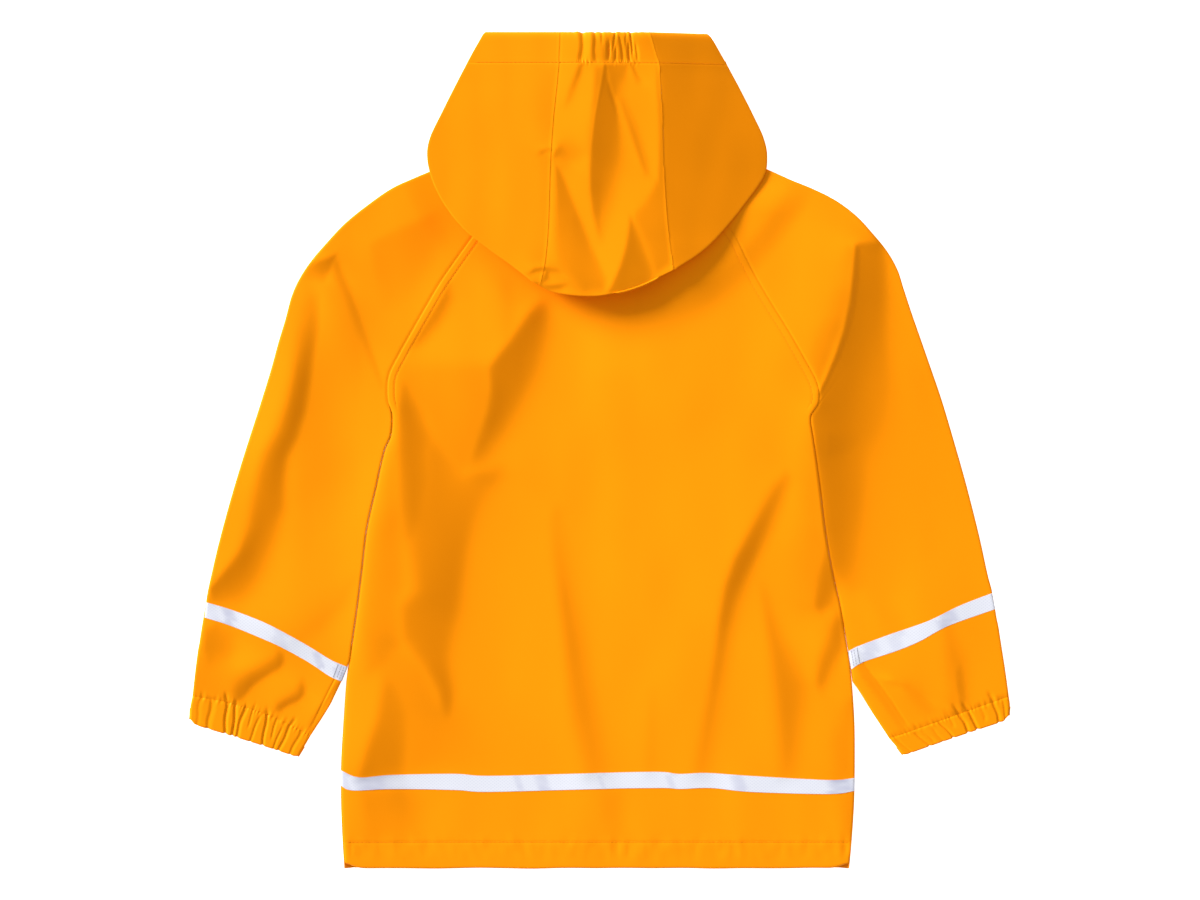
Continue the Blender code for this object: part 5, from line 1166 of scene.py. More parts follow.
# The hood's outer surface as planes: y, height of the left seam, right seam, left side and right side,
# and how far it is from each seam to its side.
HOOD_PLANES = (
    (354.0, 25.2, 25.6, 25.9,  9.8,  70.0,  62.0),
    (325.5, 26.0, 26.6, 26.9,  9.2,  75.6,  62.0),
    (304.0, 26.4, 27.2, 27.2,  8.9,  85.0,  71.0),
    (282.0, 26.6, 27.5, 27.5,  8.8,  93.4,  81.0),
    (260.0, 26.6, 27.6, 27.4,  8.8, 101.7,  87.0),
    (227.0, 26.4, 27.8, 26.7,  9.2, 103.0,  87.0),
    (190.0, 26.0, 27.8, 25.3, 10.2, 103.0,  87.0),
    (150.0, 25.4, 27.6, 24.0, 11.8, 103.0,  87.0),
    (120.0, 25.0, 27.4, 23.4, 12.6, 103.0,  87.0),
)
CENTRE_BULGE = 0.3 * MM  # how far the middle panel rises between its seams
SEAM_LEAN = (0.04, -0.30)  # how far the left and right seam lean on through the casing
SEAM_STEP = 0.14 * MM  # from one panel to the next at a seam, over SEAM_REACH
SEAM_REACH = 3.0 * MM
SEAM_CLEAR = 0.04 * MM  # between the panels at a seam
CASING_TUCK = 22 * MM  # how far the panels would reach up under the casing, and how much
CASING_NARROW = 10 * MM  # narrower they would be there, for one whole section
HOOD_LAST = len(HOOD_STATIONS) - 1
# The sections that the hood's panels are built on. The first two reach in under the casing.
HOOD_PLACES = np.concatenate([[-0.14, -0.07], np.linspace(0, 8, 96), np.linspace(8, HOOD_LAST, 40)[1:]])
HOOD_SEAMS = along(HOOD_TABLE, np.linspace(HOOD_LAST, 0, 160))
HOOD_PLANE_ROWS = along(metres(HOOD_PLANES), np.linspace(len(HOOD_PLANES) - 1, 0, 160))


def casing_puckers(x, y):
    """Fine puckers along stretches of the casing's seam."""
    near_seam = np.exp(-((y - CASING_SEAM_Y) / (2.0 * MM)) ** 2)
    wave = np.sin(2 * np.pi * (x / PUCKER_PITCH + 0.5 * np.sin(x / (3.1 * MM))))
    return sum(amount * MM * wave * ease((x / MM - start) / 4) * ease((end - x / MM) / 4) * near_seam
               for start, end, amount in CASING_PUCKERS)


def hood_level(points):
    """Height of the hood's outer surface away from its folded edge."""
    x, y = points[:, 0], points[:, 1]
    left, right, side_left, side_right, half_left, half_right = (
        np.interp(y, HOOD_PLANE_ROWS[:, 0], HOOD_PLANE_ROWS[:, k]) for k in range(1, 7))
    above = np.maximum(y - CASING_SEAM_Y, 0.0)
    seam_left = np.interp(y, HOOD_SEAMS[:, 3], HOOD_SEAMS[:, 2]) + SEAM_LEAN[0] * above
    seam_right = np.interp(y, HOOD_SEAMS[:, 5], HOOD_SEAMS[:, 4]) + SEAM_LEAN[1] * above
    out_left = np.clip((seam_left - x) / half_left, 0.0, 1.2)
    out_right = np.clip((x - seam_right) / half_right, 0.0, 1.2)
    across = np.clip((x - seam_left) / (seam_right - seam_left), 0.0, 1.0)
    height = left + (right - left) * across + CENTRE_BULGE * 4 * across * (1 - across)
    height = np.where(x < seam_left, left + (side_left - left) * out_left, height)
    height = np.where(x > seam_right, right + (side_right - right) * out_right, height)
    for seam in (seam_left, seam_right):
        beside = np.clip(np.abs(x - seam) / SEAM_REACH, 0.0, 1.0)
        height += np.where(x < seam, SEAM_STEP, -SEAM_STEP) * (1 - beside) ** 2
    height += HOOD_RELIEF(points) + casing_puckers(x, y)
    return height + ripple(points, amount=0.35 * MM, across=26 * MM, down=60 * MM, seed=6.0)


def tucked(y):
    """1 where the hood panels reach in under the casing."""
    return ease((y - CASING_SEAM_Y) / (0.8 * MM))


def hood_upper(plan):
    """The hood's outer surface over a grid of plan points, rounded at its folded edge."""
    points = plan.reshape(-1, 2)
    level = hood_level(points) - HOOD_TUCK * tucked(points[:, 1])
    distance, _, _ = nearest(HOOD_OUTLINE, points)
    height = level - HOOD_RIM * (1 - rounding(distance, HOOD_ROUND))
    return raised(plan, height.reshape(plan.shape[:-1]))


def hood_lower(plan, low, distance=None):
    """The hood's underside: `low` is its height away from the edge, 0 on the floor."""
    points = plan.reshape(-1, 2)
    rim = hood_level(points) - HOOD_RIM
    if distance is None:
        distance, _, _ = nearest(HOOD_OUTLINE, points)
    if low > 0:
        low = low + rise_beside_hood(points, inside_hood(points))
    height = rim - (rim - low) * rounding(distance.ravel(), HOOD_UNDER_ROUND)
    height += HOOD_TUCK * tucked(points[:, 1])
    return raised(plan, height.reshape(plan.shape[:-1]))


def lengths_along(line):
    """Lengths from the start of a polyline to each of its points."""
    return np.concatenate([[0.0], np.cumsum(np.linalg.norm(np.diff(line, axis=0), axis=1))])


def at_shares(line, shares):
    """Points at shares of a polyline's length."""
    lengths = lengths_along(line)
    goal = np.asarray(shares) * lengths[-1]
    return np.stack([np.interp(goal, lengths, line[:, k]) for k in range(line.shape[1])], -1)


def hood_sections():
    """Rows of the hood's table at all its places, the first ones reaching in under the casing."""
    rows = along(HOOD_TABLE, HOOD_PLACES)
    inward = np.maximum(-HOOD_PLACES, 0.0)
    rows[:, 1:8:2] += (inward * CASING_TUCK)[:, None]
    rows[:, 0] += inward * CASING_NARROW
    rows[:, 6] -= inward * CASING_NARROW
    return rows


def hood_rows(side):
    """Fractional stations with the edge and seam points of a side panel."""
    rows = hood_sections()
    edge, seam = (rows[:, 0:2], rows[:, 2:4]) if side < 0 else (rows[:, 6:8], rows[:, 4:6])
    tip = metres([HOOD_CROWN[0] if side < 0 else HOOD_CROWN[-1]])
    places = np.append(HOOD_PLACES, HOOD_LAST + 0.5)
    edge = np.vstack([edge, tip + (side * 0.8 * MM, 0.4 * MM)])
    seam = np.vstack([seam, tip])
    return places, edge, seam + (side * SEAM_CLEAR, 0.0)


def under_path(place, side, edge, seam, shares):
    """Plan points of the hidden half of a hood section, from its edge inward."""
    mirror = np.array([side, 1.0])
    face_edge = curve(FACE_EDGE) * mirror
    sides = HOOD_EDGE[side]
    if place <= LAST_WING_STATION + 0.5:
        share = min(1.0, max(0.0, place / LAST_WING_STATION))
        first = at_shares(np.vstack([sides[0], face_edge[0]]), shares)
        corners = np.vstack([sides[LAST_WING_STATION], metres(WING_END) * mirror])
        turns = np.linspace(0, 1, len(corners))
        last = np.stack([np.interp(shares, turns, corners[:, k]) for k in (0, 1)], -1)
        stop = at_shares(np.vstack([face_edge[:-1], corners[-1]]), [share])[0]
        ends = (sides[0], sides[LAST_WING_STATION], face_edge[0], corners[-1])
    else:
        share = max(0.0, (place - LAST_WING_STATION - 1) / (HOOD_LAST - LAST_WING_STATION - 1))
        share = min(1.0, share)
        neck = np.array([side * NAPE_SEAM_X, NAPE_Y])
        corners = np.vstack([sides[LAST_WING_STATION + 1], metres(NAPE_START) * mirror])
        first = at_shares(corners, shares)
        last_seam = HOOD_TABLE[-1, 2:4] if side < 0 else HOOD_TABLE[-1, 4:6]
        last = at_shares(np.vstack([sides[-1], last_seam]), shares)
        stop = neck if share == 0.0 else seam
        ends = (corners[0], sides[-1], neck, last_seam)
    start_error = edge - (ends[0] + (ends[1] - ends[0]) * share)
    stop_error = stop - (ends[2] + (ends[3] - ends[2]) * share)
    s = np.asarray(shares)[:, None]
    return first + (last - first) * share + start_error * (1 - s) + stop_error * s


def make_hood_sides(cloth):
    """Both side panels, each from its seam over to the hood's edge and back underneath."""
    for name, side in SIDES:
        places, edge, seam = hood_rows(side)
        rows = []
        plan, _, _ = sections(seam, edge, np.zeros(len(places)), COLUMNS["hood_side"],
                              SEAM_EDGE, HOOD_EDGE_COLUMNS)
        shares = np.linspace(0, 1, UNDER_COLUMNS + 1)
        for k, place in enumerate(places):
            low = NAPE_LOW * float(ease(place - LAST_WING_STATION))
            upper = hood_upper(plan[k])
            path = under_path(place, side, edge[k], seam[k], shares)
            length = np.linalg.norm(np.diff(path, axis=0), axis=1).sum()
            close = edge_shares(HOOD_EDGE_COLUMNS, length, 0.4) * length
            goals = np.concatenate([close[1:], np.linspace(close[-1], length, UNDER_COLUMNS)[1:]])
            path = at_shares(path, goals / length)
            lower = hood_lower(path, low, np.linalg.norm(path - edge[k], axis=1))
            rows.append(np.vstack([upper, lower]))
        grid = np.array(rows)
        skip = np.zeros(grid.shape[:2], bool)
        first_under = plan.shape[1] + len(HOOD_EDGE_COLUMNS) - 2
        between = (places[:-1] >= LAST_WING_STATION - 0.001) & (places[1:] <= LAST_WING_STATION + 1.1)
        skip[:-1][between, first_under:] = True
        piece = cloth_piece("hood_side_cloth_" + name, grid, cloth, flip=side < 0, skip=skip)
        declare(piece, ["hood_side_" + name])


def make_hood_centre(cloth):
    """The middle panel, from the casing over the crown and back underneath to the nape."""
    rows = hood_sections()
    plan, _, _ = sections(rows[:, 2:4], rows[:, 4:6], rows[:, 8], COLUMNS["hood_centre"],
                          SEAM_EDGE, SEAM_EDGE)
    columns = plan.shape[1]
    length = np.linalg.norm(plan[-1, -1] - plan[-1, 0])
    shares = np.linalg.norm(plan[-1] - plan[-1, 0], axis=1) / length
    shares = np.maximum.accumulate(np.clip(shares, 0, 1))
    crown = at_shares(CROWN, shares)
    steps = np.array([0.25, 0.5, 0.72, 0.88, 0.97])[:, None, None]
    toward = plan[-1] + (crown - plan[-1]) * steps
    top_plan = np.concatenate([plan, toward, crown[None]])
    upper = hood_upper(top_plan)
    nape = HOOD_PLACES >= LAST_WING_STATION + 2
    back = plan[nape][::-1]
    neck_shares = np.linspace(0, 1, columns)[:, None]
    neck = np.array([-NAPE_SEAM_X, NAPE_Y]) + neck_shares * np.array([2 * NAPE_SEAM_X, 0.0])
    last = back[-1] + (neck - back[-1]) * np.linspace(0.2, 1.0, 5)[:, None, None]
    lower = hood_lower(np.concatenate([toward[::-1], back, last]), NAPE_LOW)
    grid = np.concatenate([upper, lower])
    piece = cloth_piece("hood_centre_cloth", grid, cloth)
    declare(piece, ["hood_centre"])


# ------------ hood casing

def casing_gathers(x, y):
    """Depth of the valleys between the casing's gathers, below its smooth surface."""
    share = np.clip((y - CASING_SEAM_Y) / GATHERED_HEIGHT, 0.0, 1.0)
    return -valleys(x / MM, share, CASING_VALLEYS)


def casing_row(y, depth, share_up):
    """One row of the casing: under the left end, across the top, under the right end."""
    left, right = (float(read(CASING, np.array([y]), k)[0]) for k in (1, 2))
    left, right = left + depth, right - depth
    edge = np.array(UNDER_EDGE) * MM
    deep = np.array(HOOD_EDGE_COLUMNS) * MM
    under = np.concatenate([np.linspace(CASING_UNDER, deep[-1], 8)[:-1], deep[::-1]])
    across = np.linspace(edge[-1], right - left - edge[-1], COLUMNS["casing"])[1:-1]
    top = np.concatenate([edge[1:], across, (right - left) - edge[::-1]])
    xs = np.concatenate([left + under, left + top, right - under[::-1][1:]])
    inset = np.minimum(xs - left, right - xs)
    above = np.zeros(len(xs), bool)
    above[len(under):len(under) + len(top)] = True
    points = np.stack([xs, np.full(len(xs), y)], -1)
    gathers = casing_gathers(xs, np.full(len(xs), y))
    level = hood_level(points) + gathers
    rim = hood_level(np.clip(points, (left + 2 * MM, -1.0), (right - 2 * MM, 1.0))) - HOOD_RIM - depth
    over = level - depth - HOOD_RIM * (1 - rounding(inset, HOOD_ROUND))
    height = np.where(above, over, rim + (depth - rim) * rounding(inset, HOOD_UNDER_ROUND))
    uneven = ripple(np.stack([xs, 0 * xs], -1), amount=1.0, across=4.2 * MM, down=1.0, seed=2.0)
    gathered = ease((xs / MM + 34) / 20) * ease((44 - xs / MM) / 20)
    bulge = (0.6 * gathers + uneven * MM * gathered) * share_up ** 3
    return np.stack([xs, points[:, 1] + bulge, height], -1)


def make_casing(cloth):
    height = CASING_TOP_Y - CASING_SEAM_Y
    rows = [casing_row(y * MM, depth * MM, (y * MM - CASING_SEAM_Y) / height) for y, depth in CASING_ROWS]
    grid = np.array(rows)
    piece = cloth_piece("hood_casing_cloth", grid, cloth, 0.6 * MM, flip=True)
    declare(piece, ["hood_casing"])


# ------------ tape

def tape_plan(lines, across):
    """Plan points of a strip between its two edges, with each point's distance from both ends."""
    top, bottom = (curve(line, 4 * MM) for line in lines)
    length = np.linalg.norm(top[-1] - top[0])
    edge = np.array(UNDER_EDGE) * MM / length
    middle = np.linspace(edge[-1], 1 - edge[-1], across)[1:-1]
    shares = np.concatenate([edge, middle, 1 - edge[::-1]])
    first, last = at_shares(top, shares), at_shares(bottom, shares)
    steps = np.array(TAPE_ROWS)[:, None, None]
    plan = first + (last - first) * steps
    return plan, from_start(plan), from_start(plan[:, ::-1])[:, ::-1]


def tape_piece(name, grid, tape, flip=False):
    """A strip of tape, with its streaks as an attribute of its points."""
    piece = cloth_piece(name, grid, tape, TAPE, flip)
    ys = grid[..., 1].ravel()
    xs = grid[..., 0].ravel() / MM + 0.35 * (ys / MM % 13)
    shade = np.zeros(len(xs))
    for x, half, strength in TAPE_STREAKS:
        shade = np.maximum(shade, strength * np.exp(-((xs - x) / half) ** 4))
    uneven = ripple(np.stack([xs, ys], -1), amount=0.4, across=9, down=3 * MM, seed=0)
    shade *= 0.8 + uneven
    streak = piece.data.attributes.new("streak", "FLOAT", "POINT")
    streak.data.foreach_set("value", shade)
    return piece


def make_body_tape(tape):
    """The strip round the hem: over the back and, in two pieces, under both fronts."""
    plan, start, end = tape_plan(TAPE_LINES["back"], COLUMNS["tape"])
    top = heights(back_top, plan) + TAPE_STAND - edge_sink(start)
    low = np.where(start < end, top[:, :1], top[:, -1:]) - SEAM_DROP
    grid = raised(plan, low + (top - low) * rounding(np.minimum(start, end), EDGE_ROUND))
    piece = tape_piece("tape_back", grid, tape)
    declare(piece, ["stripe_back"])
    left_ends, right_ends = plan[:, 0], plan[:, -1]
    for name, side, ends in (("left", -1, left_ends), ("right", 1, right_ends)):
        stop = ends.copy()
        stop[:, 0] = OVERLAP_HALF if side < 0 else RIGHT_TAPE_END
        plan, start, _ = sections(ends, stop, np.zeros(len(ends)), COLUMNS["tape_front"],
                                  LOWER_EDGE, (0.0, 1.0))
        high = back_top(ends)[:, None] - SEAM_DROP - SEAM_GAP
        height = high - high * rounding(start, UNDER_ROUND)
        piece = tape_piece("tape_front_" + name, raised(plan, height), tape, side < 0)
        declare(piece, ["stripe_front_" + name])


def make_sleeve_tape(tape):
    """The strips round the sleeves."""
    for name, side in SIDES:
        plan, start, end = tape_plan(TAPE_LINES["sleeve_" + name], COLUMNS["tape_sleeve"])
        closed = np.ones(len(plan))
        top = heights(sleeve_top, plan) + TAPE_STAND
        if side > 0:
            top -= edge_sink(start)
        lips = top[:, 0] - SEAM_DROP, top[:, -1] - SEAM_DROP
        upper = raised(plan, tube_row_heights(lips, start, end, closed, top, 1))
        lower_plan, start, end = sections(plan[:, 0], plan[:, -1], np.zeros(len(plan)),
                                          COLUMNS["tape_sleeve_under"], LOWER_EDGE, LOWER_EDGE)
        zero = np.zeros(lower_plan.shape[:2])
        lower = raised(lower_plan, tube_row_heights(lips, start, end, closed, zero, -1))
        grid = np.concatenate([upper, lower[:, ::-1][:, 1:]], 1)
        piece = tape_piece("tape_sleeve_" + name, grid, tape, side < 0)
        declare(piece, ["stripe_sleeve_" + name])


# ------------ studs and stitches

def turned(name, profile, x, y, material, sides=40):
    """A turned solid about a vertical axis, from (radius, height) pairs in millimetres."""
    points, faces = [], []
    for radius, z in profile:
        for k in range(sides):
            angle = 2 * math.pi * k / sides
            points.append((x + radius * MM * math.cos(angle), y + radius * MM * math.sin(angle), z * MM))
    for ring in range(len(profile) - 1):
        for k in range(sides):
            n = (k + 1) % sides
            a = ring * sides
            faces.append((a + k, a + n, a + sides + n, a + sides + k))
    faces.append(tuple(range(sides))[::-1])
    faces.append(tuple(len(points) - sides + k for k in range(sides)))
    piece = mesh_piece(name, points, faces, material)
    piece.data.set_sharp_from_angle(angle=math.radians(35))
    return piece


def make_studs(metal):
    for number, y in enumerate(STUD_PLACES_Y, 1):
        piece = turned("press_stud_%d_turned" % number, STUD_PROFILE, 0.0, y * MM, metal)
        declare(piece, ["press_stud_%d" % number])


def stitch_mesh(name, lines, thread, length=2.6, pitch=3.4, width=0.4):
    """Short rounded rods on the cloth along lines of points, in one mesh: stitches, or a painted shade line.
    """
    points, faces = [], []
    last = (len(STITCH_PROFILE) - 1) * STITCH_SIDES
    for line in lines:
        lengths = lengths_along(line)
        for start in np.arange(0.3 * pitch * MM, lengths[-1] - length * MM, pitch * MM):
            a, b = (np.array([np.interp(s, lengths, line[:, k]) for k in range(3)])
                    for s in (start, start + length * MM))
            way = b - a
            way /= max(np.linalg.norm(way), 1e-9)
            sideways = np.cross(way, (0.0, 0.0, 1.0))
            sideways /= max(np.linalg.norm(sideways), 1e-9)
            upward = np.cross(sideways, way)
            middle = 0.5 * (a + b)
            base = len(points)
            for share, swell in STITCH_PROFILE:
                for k in range(STITCH_SIDES):
                    angle = 2 * math.pi * k / STITCH_SIDES
                    out = sideways * math.cos(angle) + upward * math.sin(angle)
                    points.append(middle + way * share * length * MM + out * swell * 0.5 * width * MM)
            for c in range(base, base + last, STITCH_SIDES):
                for k in range(STITCH_SIDES):
                    n = (k + 1) % STITCH_SIDES
                    faces.append((c + k, c + STITCH_SIDES + k, c + STITCH_SIDES + n, c + n))
            faces.append(tuple(base + k for k in range(STITCH_SIDES)))
            faces.append(tuple(base + last + k for k in reversed(range(STITCH_SIDES))))
    return mesh_piece(name, [tuple(p) for p in points], faces, thread)


def on_surface(plan_line, function, lift=0.05 * MM):
    """A plan line laid on a surface."""
    return np.concatenate([plan_line, (function(plan_line) + lift)[:, None]], 1)


def offset_line(line, distance):
    """A plan line moved to its left by a distance."""
    way = np.gradient(line[:, :2], axis=0)
    way /= np.maximum(np.linalg.norm(way, axis=1, keepdims=True), 1e-9)
    return line[:, :2] + np.stack([-way[:, 1], way[:, 0]], -1) * distance


def casing_top(points):
    return hood_level(points) + casing_gathers(points[:, 0], points[:, 1])


def make_stitches(thread):
    """The topstitching along the raglan seams, the hem's and the casing's."""
    lines = []
    for side in (-1, 1):
        line = offset_line(RAGLAN[side][4:-2], side * -TOPSTITCH)
        lines.append(on_surface(at_shares(line, np.linspace(0, 1, 120)), back_top))
    stitched_row = BODY_TABLE[-2]
    xs = np.linspace(stitched_row[0] + 3 * MM, stitched_row[2] - 3 * MM, 300)
    lines.append(on_surface(np.stack([xs, np.full(len(xs), HEM_STITCH_Y)], -1), back_top))
    declare(stitch_mesh("stitches_body", lines, thread), [])
    xs = np.linspace(-CASING_STITCH_HALF, CASING_STITCH_HALF, 200)
    line = on_surface(np.stack([xs, np.full(len(xs), CASING_STITCH_Y)], -1), casing_top)
    declare(stitch_mesh("stitches_hood", [line], thread), [])


def make_tape_stitches(thread):
    """Joins of the sleeves' tape: two rows of stitches and a painted shade line at the folded end's edge."""
    for name, side in SIDES:
        plan, _, _ = tape_plan(TAPE_LINES["sleeve_" + name], 50)
        lines = []
        for away in TAPE_JOINS:
            row = np.array([at_shares(line, [away * MM / TAPE_LENGTH])[0] for line in plan[1:-1]])
            height = sleeve_top(row) + TAPE_STAND - (side > 0) * edge_sink(away * MM)
            row = np.concatenate([row, height[:, None]], 1)
            lines.append(at_shares(row, np.linspace(0, 1, 30)))
        # Short rods in the dark tape thread colour along the folded end: painted shade of the fold, not
        # thread.
        fold = stitch_mesh("tape_fold_shade_line_" + name, lines[-1:], thread, 1.4, 1.45, 0.4)
        declare(fold, [])
        rows = stitch_mesh("stitches_tape_" + name, lines[:-1], thread, 1.6, 2.2, 0.28)
        declare(rows, [])


# ------------ finishes

THREAD_ROUGHNESS = 0.6
TAPE_ROUGHNESS = 0.4
METAL_ROUGHNESS = 0.28
GRAIN_TINTS = (0.965, 1.03)  # darkest and lightest cloth, as shares of its colour
COAT_SHEEN = 0.22
SHEEN_TINT = (1.0, 0.5, 0.05, 1.0)


def new_material(name, roughness, metallic=0.0):
    material = bpy.data.materials.new(name)
    material.use_nodes = True
    shader = material.node_tree.nodes["Principled BSDF"]
    shader.inputs["Roughness"].default_value = roughness
    shader.inputs["Metallic"].default_value = metallic
    return material, material.node_tree.nodes, material.node_tree.links, shader


def new_group(name, outputs):
    """A shader node group whose outputs are numbers."""
    group = bpy.data.node_groups.new(name, "ShaderNodeTree")
    for output in outputs:
        group.interface.new_socket(output, in_out="OUTPUT", socket_type="NodeSocketFloat")
    return group, group.nodes, group.links


def grain_group():
    """Fine unevenness of coated cloth: a tint from 0 to 1 and a bump height."""
    group, nodes, links = new_group("coated cloth grain", ("Tint", "Height"))
    place = nodes.new("ShaderNodeTexCoord")
    out = nodes.new("NodeGroupOutput")
    for output, scale, detail in (("Tint", 9.0, 4.0), ("Height", 900.0, 3.0)):
        uneven = nodes.new("ShaderNodeTexNoise")
        uneven.inputs["Scale"].default_value = scale
        uneven.inputs["Detail"].default_value = detail
        links.new(place.outputs["Object"], uneven.inputs["Vector"])
        links.new(uneven.outputs["Fac"], out.inputs[output])
    return group


def add_group(nodes, group):
    node = nodes.new("ShaderNodeGroup")
    node.node_tree = group
    return node


def mixed(nodes, links, factor, first, second):
    """A mix of two colours by a factor. The first one may come from another node."""
    mix = nodes.new("ShaderNodeMix")
    mix.data_type = "RGBA"
    if isinstance(first, bpy.types.NodeSocket):
        links.new(first, mix.inputs["A"])
    else:
        mix.inputs["A"].default_value = (*first, 1.0)
    mix.inputs["B"].default_value = (*second, 1.0)
    links.new(factor, mix.inputs["Factor"])
    return mix.outputs["Result"]


def cloth_material(name, colour, grain, roughness):
    material, nodes, links, shader = new_material(name, roughness)
    node = add_group(nodes, grain)
    darker, lighter = ([min(1.0, share * c) for c in colour] for share in GRAIN_TINTS)
    links.new(mixed(nodes, links, node.outputs["Tint"], darker, lighter), shader.inputs["Base Color"])
    bump = nodes.new("ShaderNodeBump")
    bump.inputs["Strength"].default_value = 0.12
    bump.inputs["Distance"].default_value = 0.1 * MM
    links.new(node.outputs["Height"], bump.inputs["Height"])
    links.new(bump.outputs["Normal"], shader.inputs["Normal"])
    shader.inputs["Specular IOR Level"].default_value = COAT_SHEEN
    shader.inputs["Specular Tint"].default_value = SHEEN_TINT
    return material


def hatch_group():
    """Reflective tape: masks of its fine crossed ribs and of its soft streaks, from 0 to 1."""
    group, nodes, links = new_group("reflective tape", ("Ribs", "Streak"))
    place = nodes.new("ShaderNodeTexCoord")
    join = nodes.new("ShaderNodeMath")
    join.operation = "MULTIPLY"
    for number, angle in enumerate((0.9, -0.9)):
        turn = nodes.new("ShaderNodeMapping")
        turn.inputs["Rotation"].default_value = (0.0, 0.0, angle)
        wave = nodes.new("ShaderNodeTexWave")
        wave.inputs["Scale"].default_value = 160.0
        wave.inputs["Distortion"].default_value = 1.5
        links.new(place.outputs["Object"], turn.inputs["Vector"])
        links.new(turn.outputs["Vector"], wave.inputs["Vector"])
        links.new(wave.outputs["Fac"], join.inputs[number])
    streak = nodes.new("ShaderNodeAttribute")
    streak.attribute_name = "streak"
    out = nodes.new("NodeGroupOutput")
    links.new(join.outputs["Value"], out.inputs["Ribs"])
    links.new(streak.outputs["Fac"], out.inputs["Streak"])
    return group


def tape_material(name, colour, line_colour, streak_colour, hatch):
    material, nodes, links, shader = new_material(name, TAPE_ROUGHNESS)
    node = add_group(nodes, hatch)
    ribbed = mixed(nodes, links, node.outputs["Ribs"], colour, line_colour)
    streaked = mixed(nodes, links, node.outputs["Streak"], ribbed, streak_colour)
    links.new(streaked, shader.inputs["Base Color"])
    return material


# ------------ sizes and colours a user sets

def colour_setting(name, description, default):
    return FloatVectorProperty(name=name, description=description, subtype="COLOR", size=3,
                               min=0.0, max=1.0, default=default)


class RaincoatCloth(bpy.types.PropertyGroup):
    coat: colour_setting("Coat colour", "Colour of the coated cloth", (0.90, 0.260, 0.002))
    thread: colour_setting("Thread colour", "Colour of the sewing thread", (0.80, 0.215, 0.004))
    tape: colour_setting("Tape colour", "Colour of the reflective tape", (0.66, 0.675, 0.74))
    tape_line: colour_setting(
        "Tape hatch colour", "Colour of the fine ribs in the tape", (0.56, 0.575, 0.67))
    tape_streak: colour_setting(
        "Tape streak colour", "Colour of the tape's darker streaks", (0.44, 0.45, 0.57))
    # This colour also paints the dark line at the tape's folded end, which stands for the shade there.
    tape_thread_and_fold_shade: colour_setting(
        "Tape thread and fold shade colour", "Colour of the thread in the tape's joins, also painting the shade line at its folded end", (0.20, 0.20, 0.26))
    metal: colour_setting("Stud colour", "Colour of the press studs", (0.62, 0.61, 0.59))
    roughness: FloatProperty(
        name="Coat roughness", description="Roughness of the coated cloth", subtype="FACTOR",
        min=0.0, max=1.0, default=0.47)


class RaincoatStage(bpy.types.PropertyGroup):
    key: FloatProperty(
        name="Key light", description="Strength of the low light from the upper left",
        min=0.0, default=9.1)
    key_elevation: FloatProperty(
        name="Key elevation", description="Height of the key light above the floor",
        subtype="ANGLE", default=math.radians(14))
    key_azimuth: FloatProperty(
        name="Key direction", description="Direction of the key light, from +X towards +Y",
        subtype="ANGLE", default=math.radians(150))
    key_spread: FloatProperty(
        name="Key spread", description="Angular width of the key light", subtype="ANGLE",
        default=math.radians(26))
    ambient: FloatProperty(
        name="Ambient", description="Strength of the even light from all round",
        min=0.0, default=0.6)
    camera_height: FloatProperty(
        name="Camera height", description="Height of the camera above the floor", subtype="DISTANCE",
        unit="LENGTH", default=3.0)
    focal: FloatProperty(
        name="Focal length", description="Focal length on a 36 mm wide sensor, in millimetres",
        min=1.0, default=106.9)


FLOOR_HALF = 3.0
FLOOR_Z = -0.2 * MM  # just under the jacket
WHITE = (1.0, 1.0, 1.0, 1.0)
PAPER = (0.9, 0.9, 0.9, 1.0)
PAPER_ROUGHNESS = 0.9
PAPER_GLOW = 0.9
LAMP_AWAY = 2.0
SENSOR = 36.0
CAMERA_Y = 0.42 * MM


def finish(name):
    return bpy.data.materials[name]


# ------------ operators

class RAINCOAT_OT_finishes(bpy.types.Operator):
    """Make the cloth, thread, tape and metal finishes"""
    bl_idname = "raincoat.finishes"
    bl_label = "Finishes"

    def execute(self, context):
        looks = context.scene.raincoat_cloth
        grain = grain_group()
        cloth_material("coated cloth", looks.coat, grain, looks.roughness)
        cloth_material("thread", looks.thread, grain, THREAD_ROUGHNESS)
        # The join thread's finish, also used for the painted shade line at the tape's folded end.
        cloth_material("tape thread and fold shade", looks.tape_thread_and_fold_shade, grain, THREAD_ROUGHNESS)
        tape_material("reflective tape", looks.tape, looks.tape_line, looks.tape_streak, hatch_group())
        _, _, _, shader = new_material("stud metal", METAL_ROUGHNESS, metallic=1.0)
        shader.inputs["Base Color"].default_value = (*looks.metal, 1.0)
        return {"FINISHED"}


class RAINCOAT_OT_body(bpy.types.Operator):
    """Build the back and both fronts"""
    bl_idname = "raincoat.body"
    bl_label = "Back and fronts"

    def execute(self, context):
        make_fronts(finish("coated cloth"))
        make_back(finish("coated cloth"))
        return {"FINISHED"}


class RAINCOAT_OT_sleeves(bpy.types.Operator):
    """Build the sleeves and their gathered cuffs"""
    bl_idname = "raincoat.sleeves"
    bl_label = "Sleeves and cuffs"

    def execute(self, context):
        make_sleeves(finish("coated cloth"))
        make_cuffs(finish("coated cloth"))
        return {"FINISHED"}


class RAINCOAT_OT_hood(bpy.types.Operator):
    """Build the hood's three panels and its casing"""
    bl_idname = "raincoat.hood"
    bl_label = "Hood"

    def execute(self, context):
        make_hood_sides(finish("coated cloth"))
        make_hood_centre(finish("coated cloth"))
        make_casing(finish("coated cloth"))
        return {"FINISHED"}


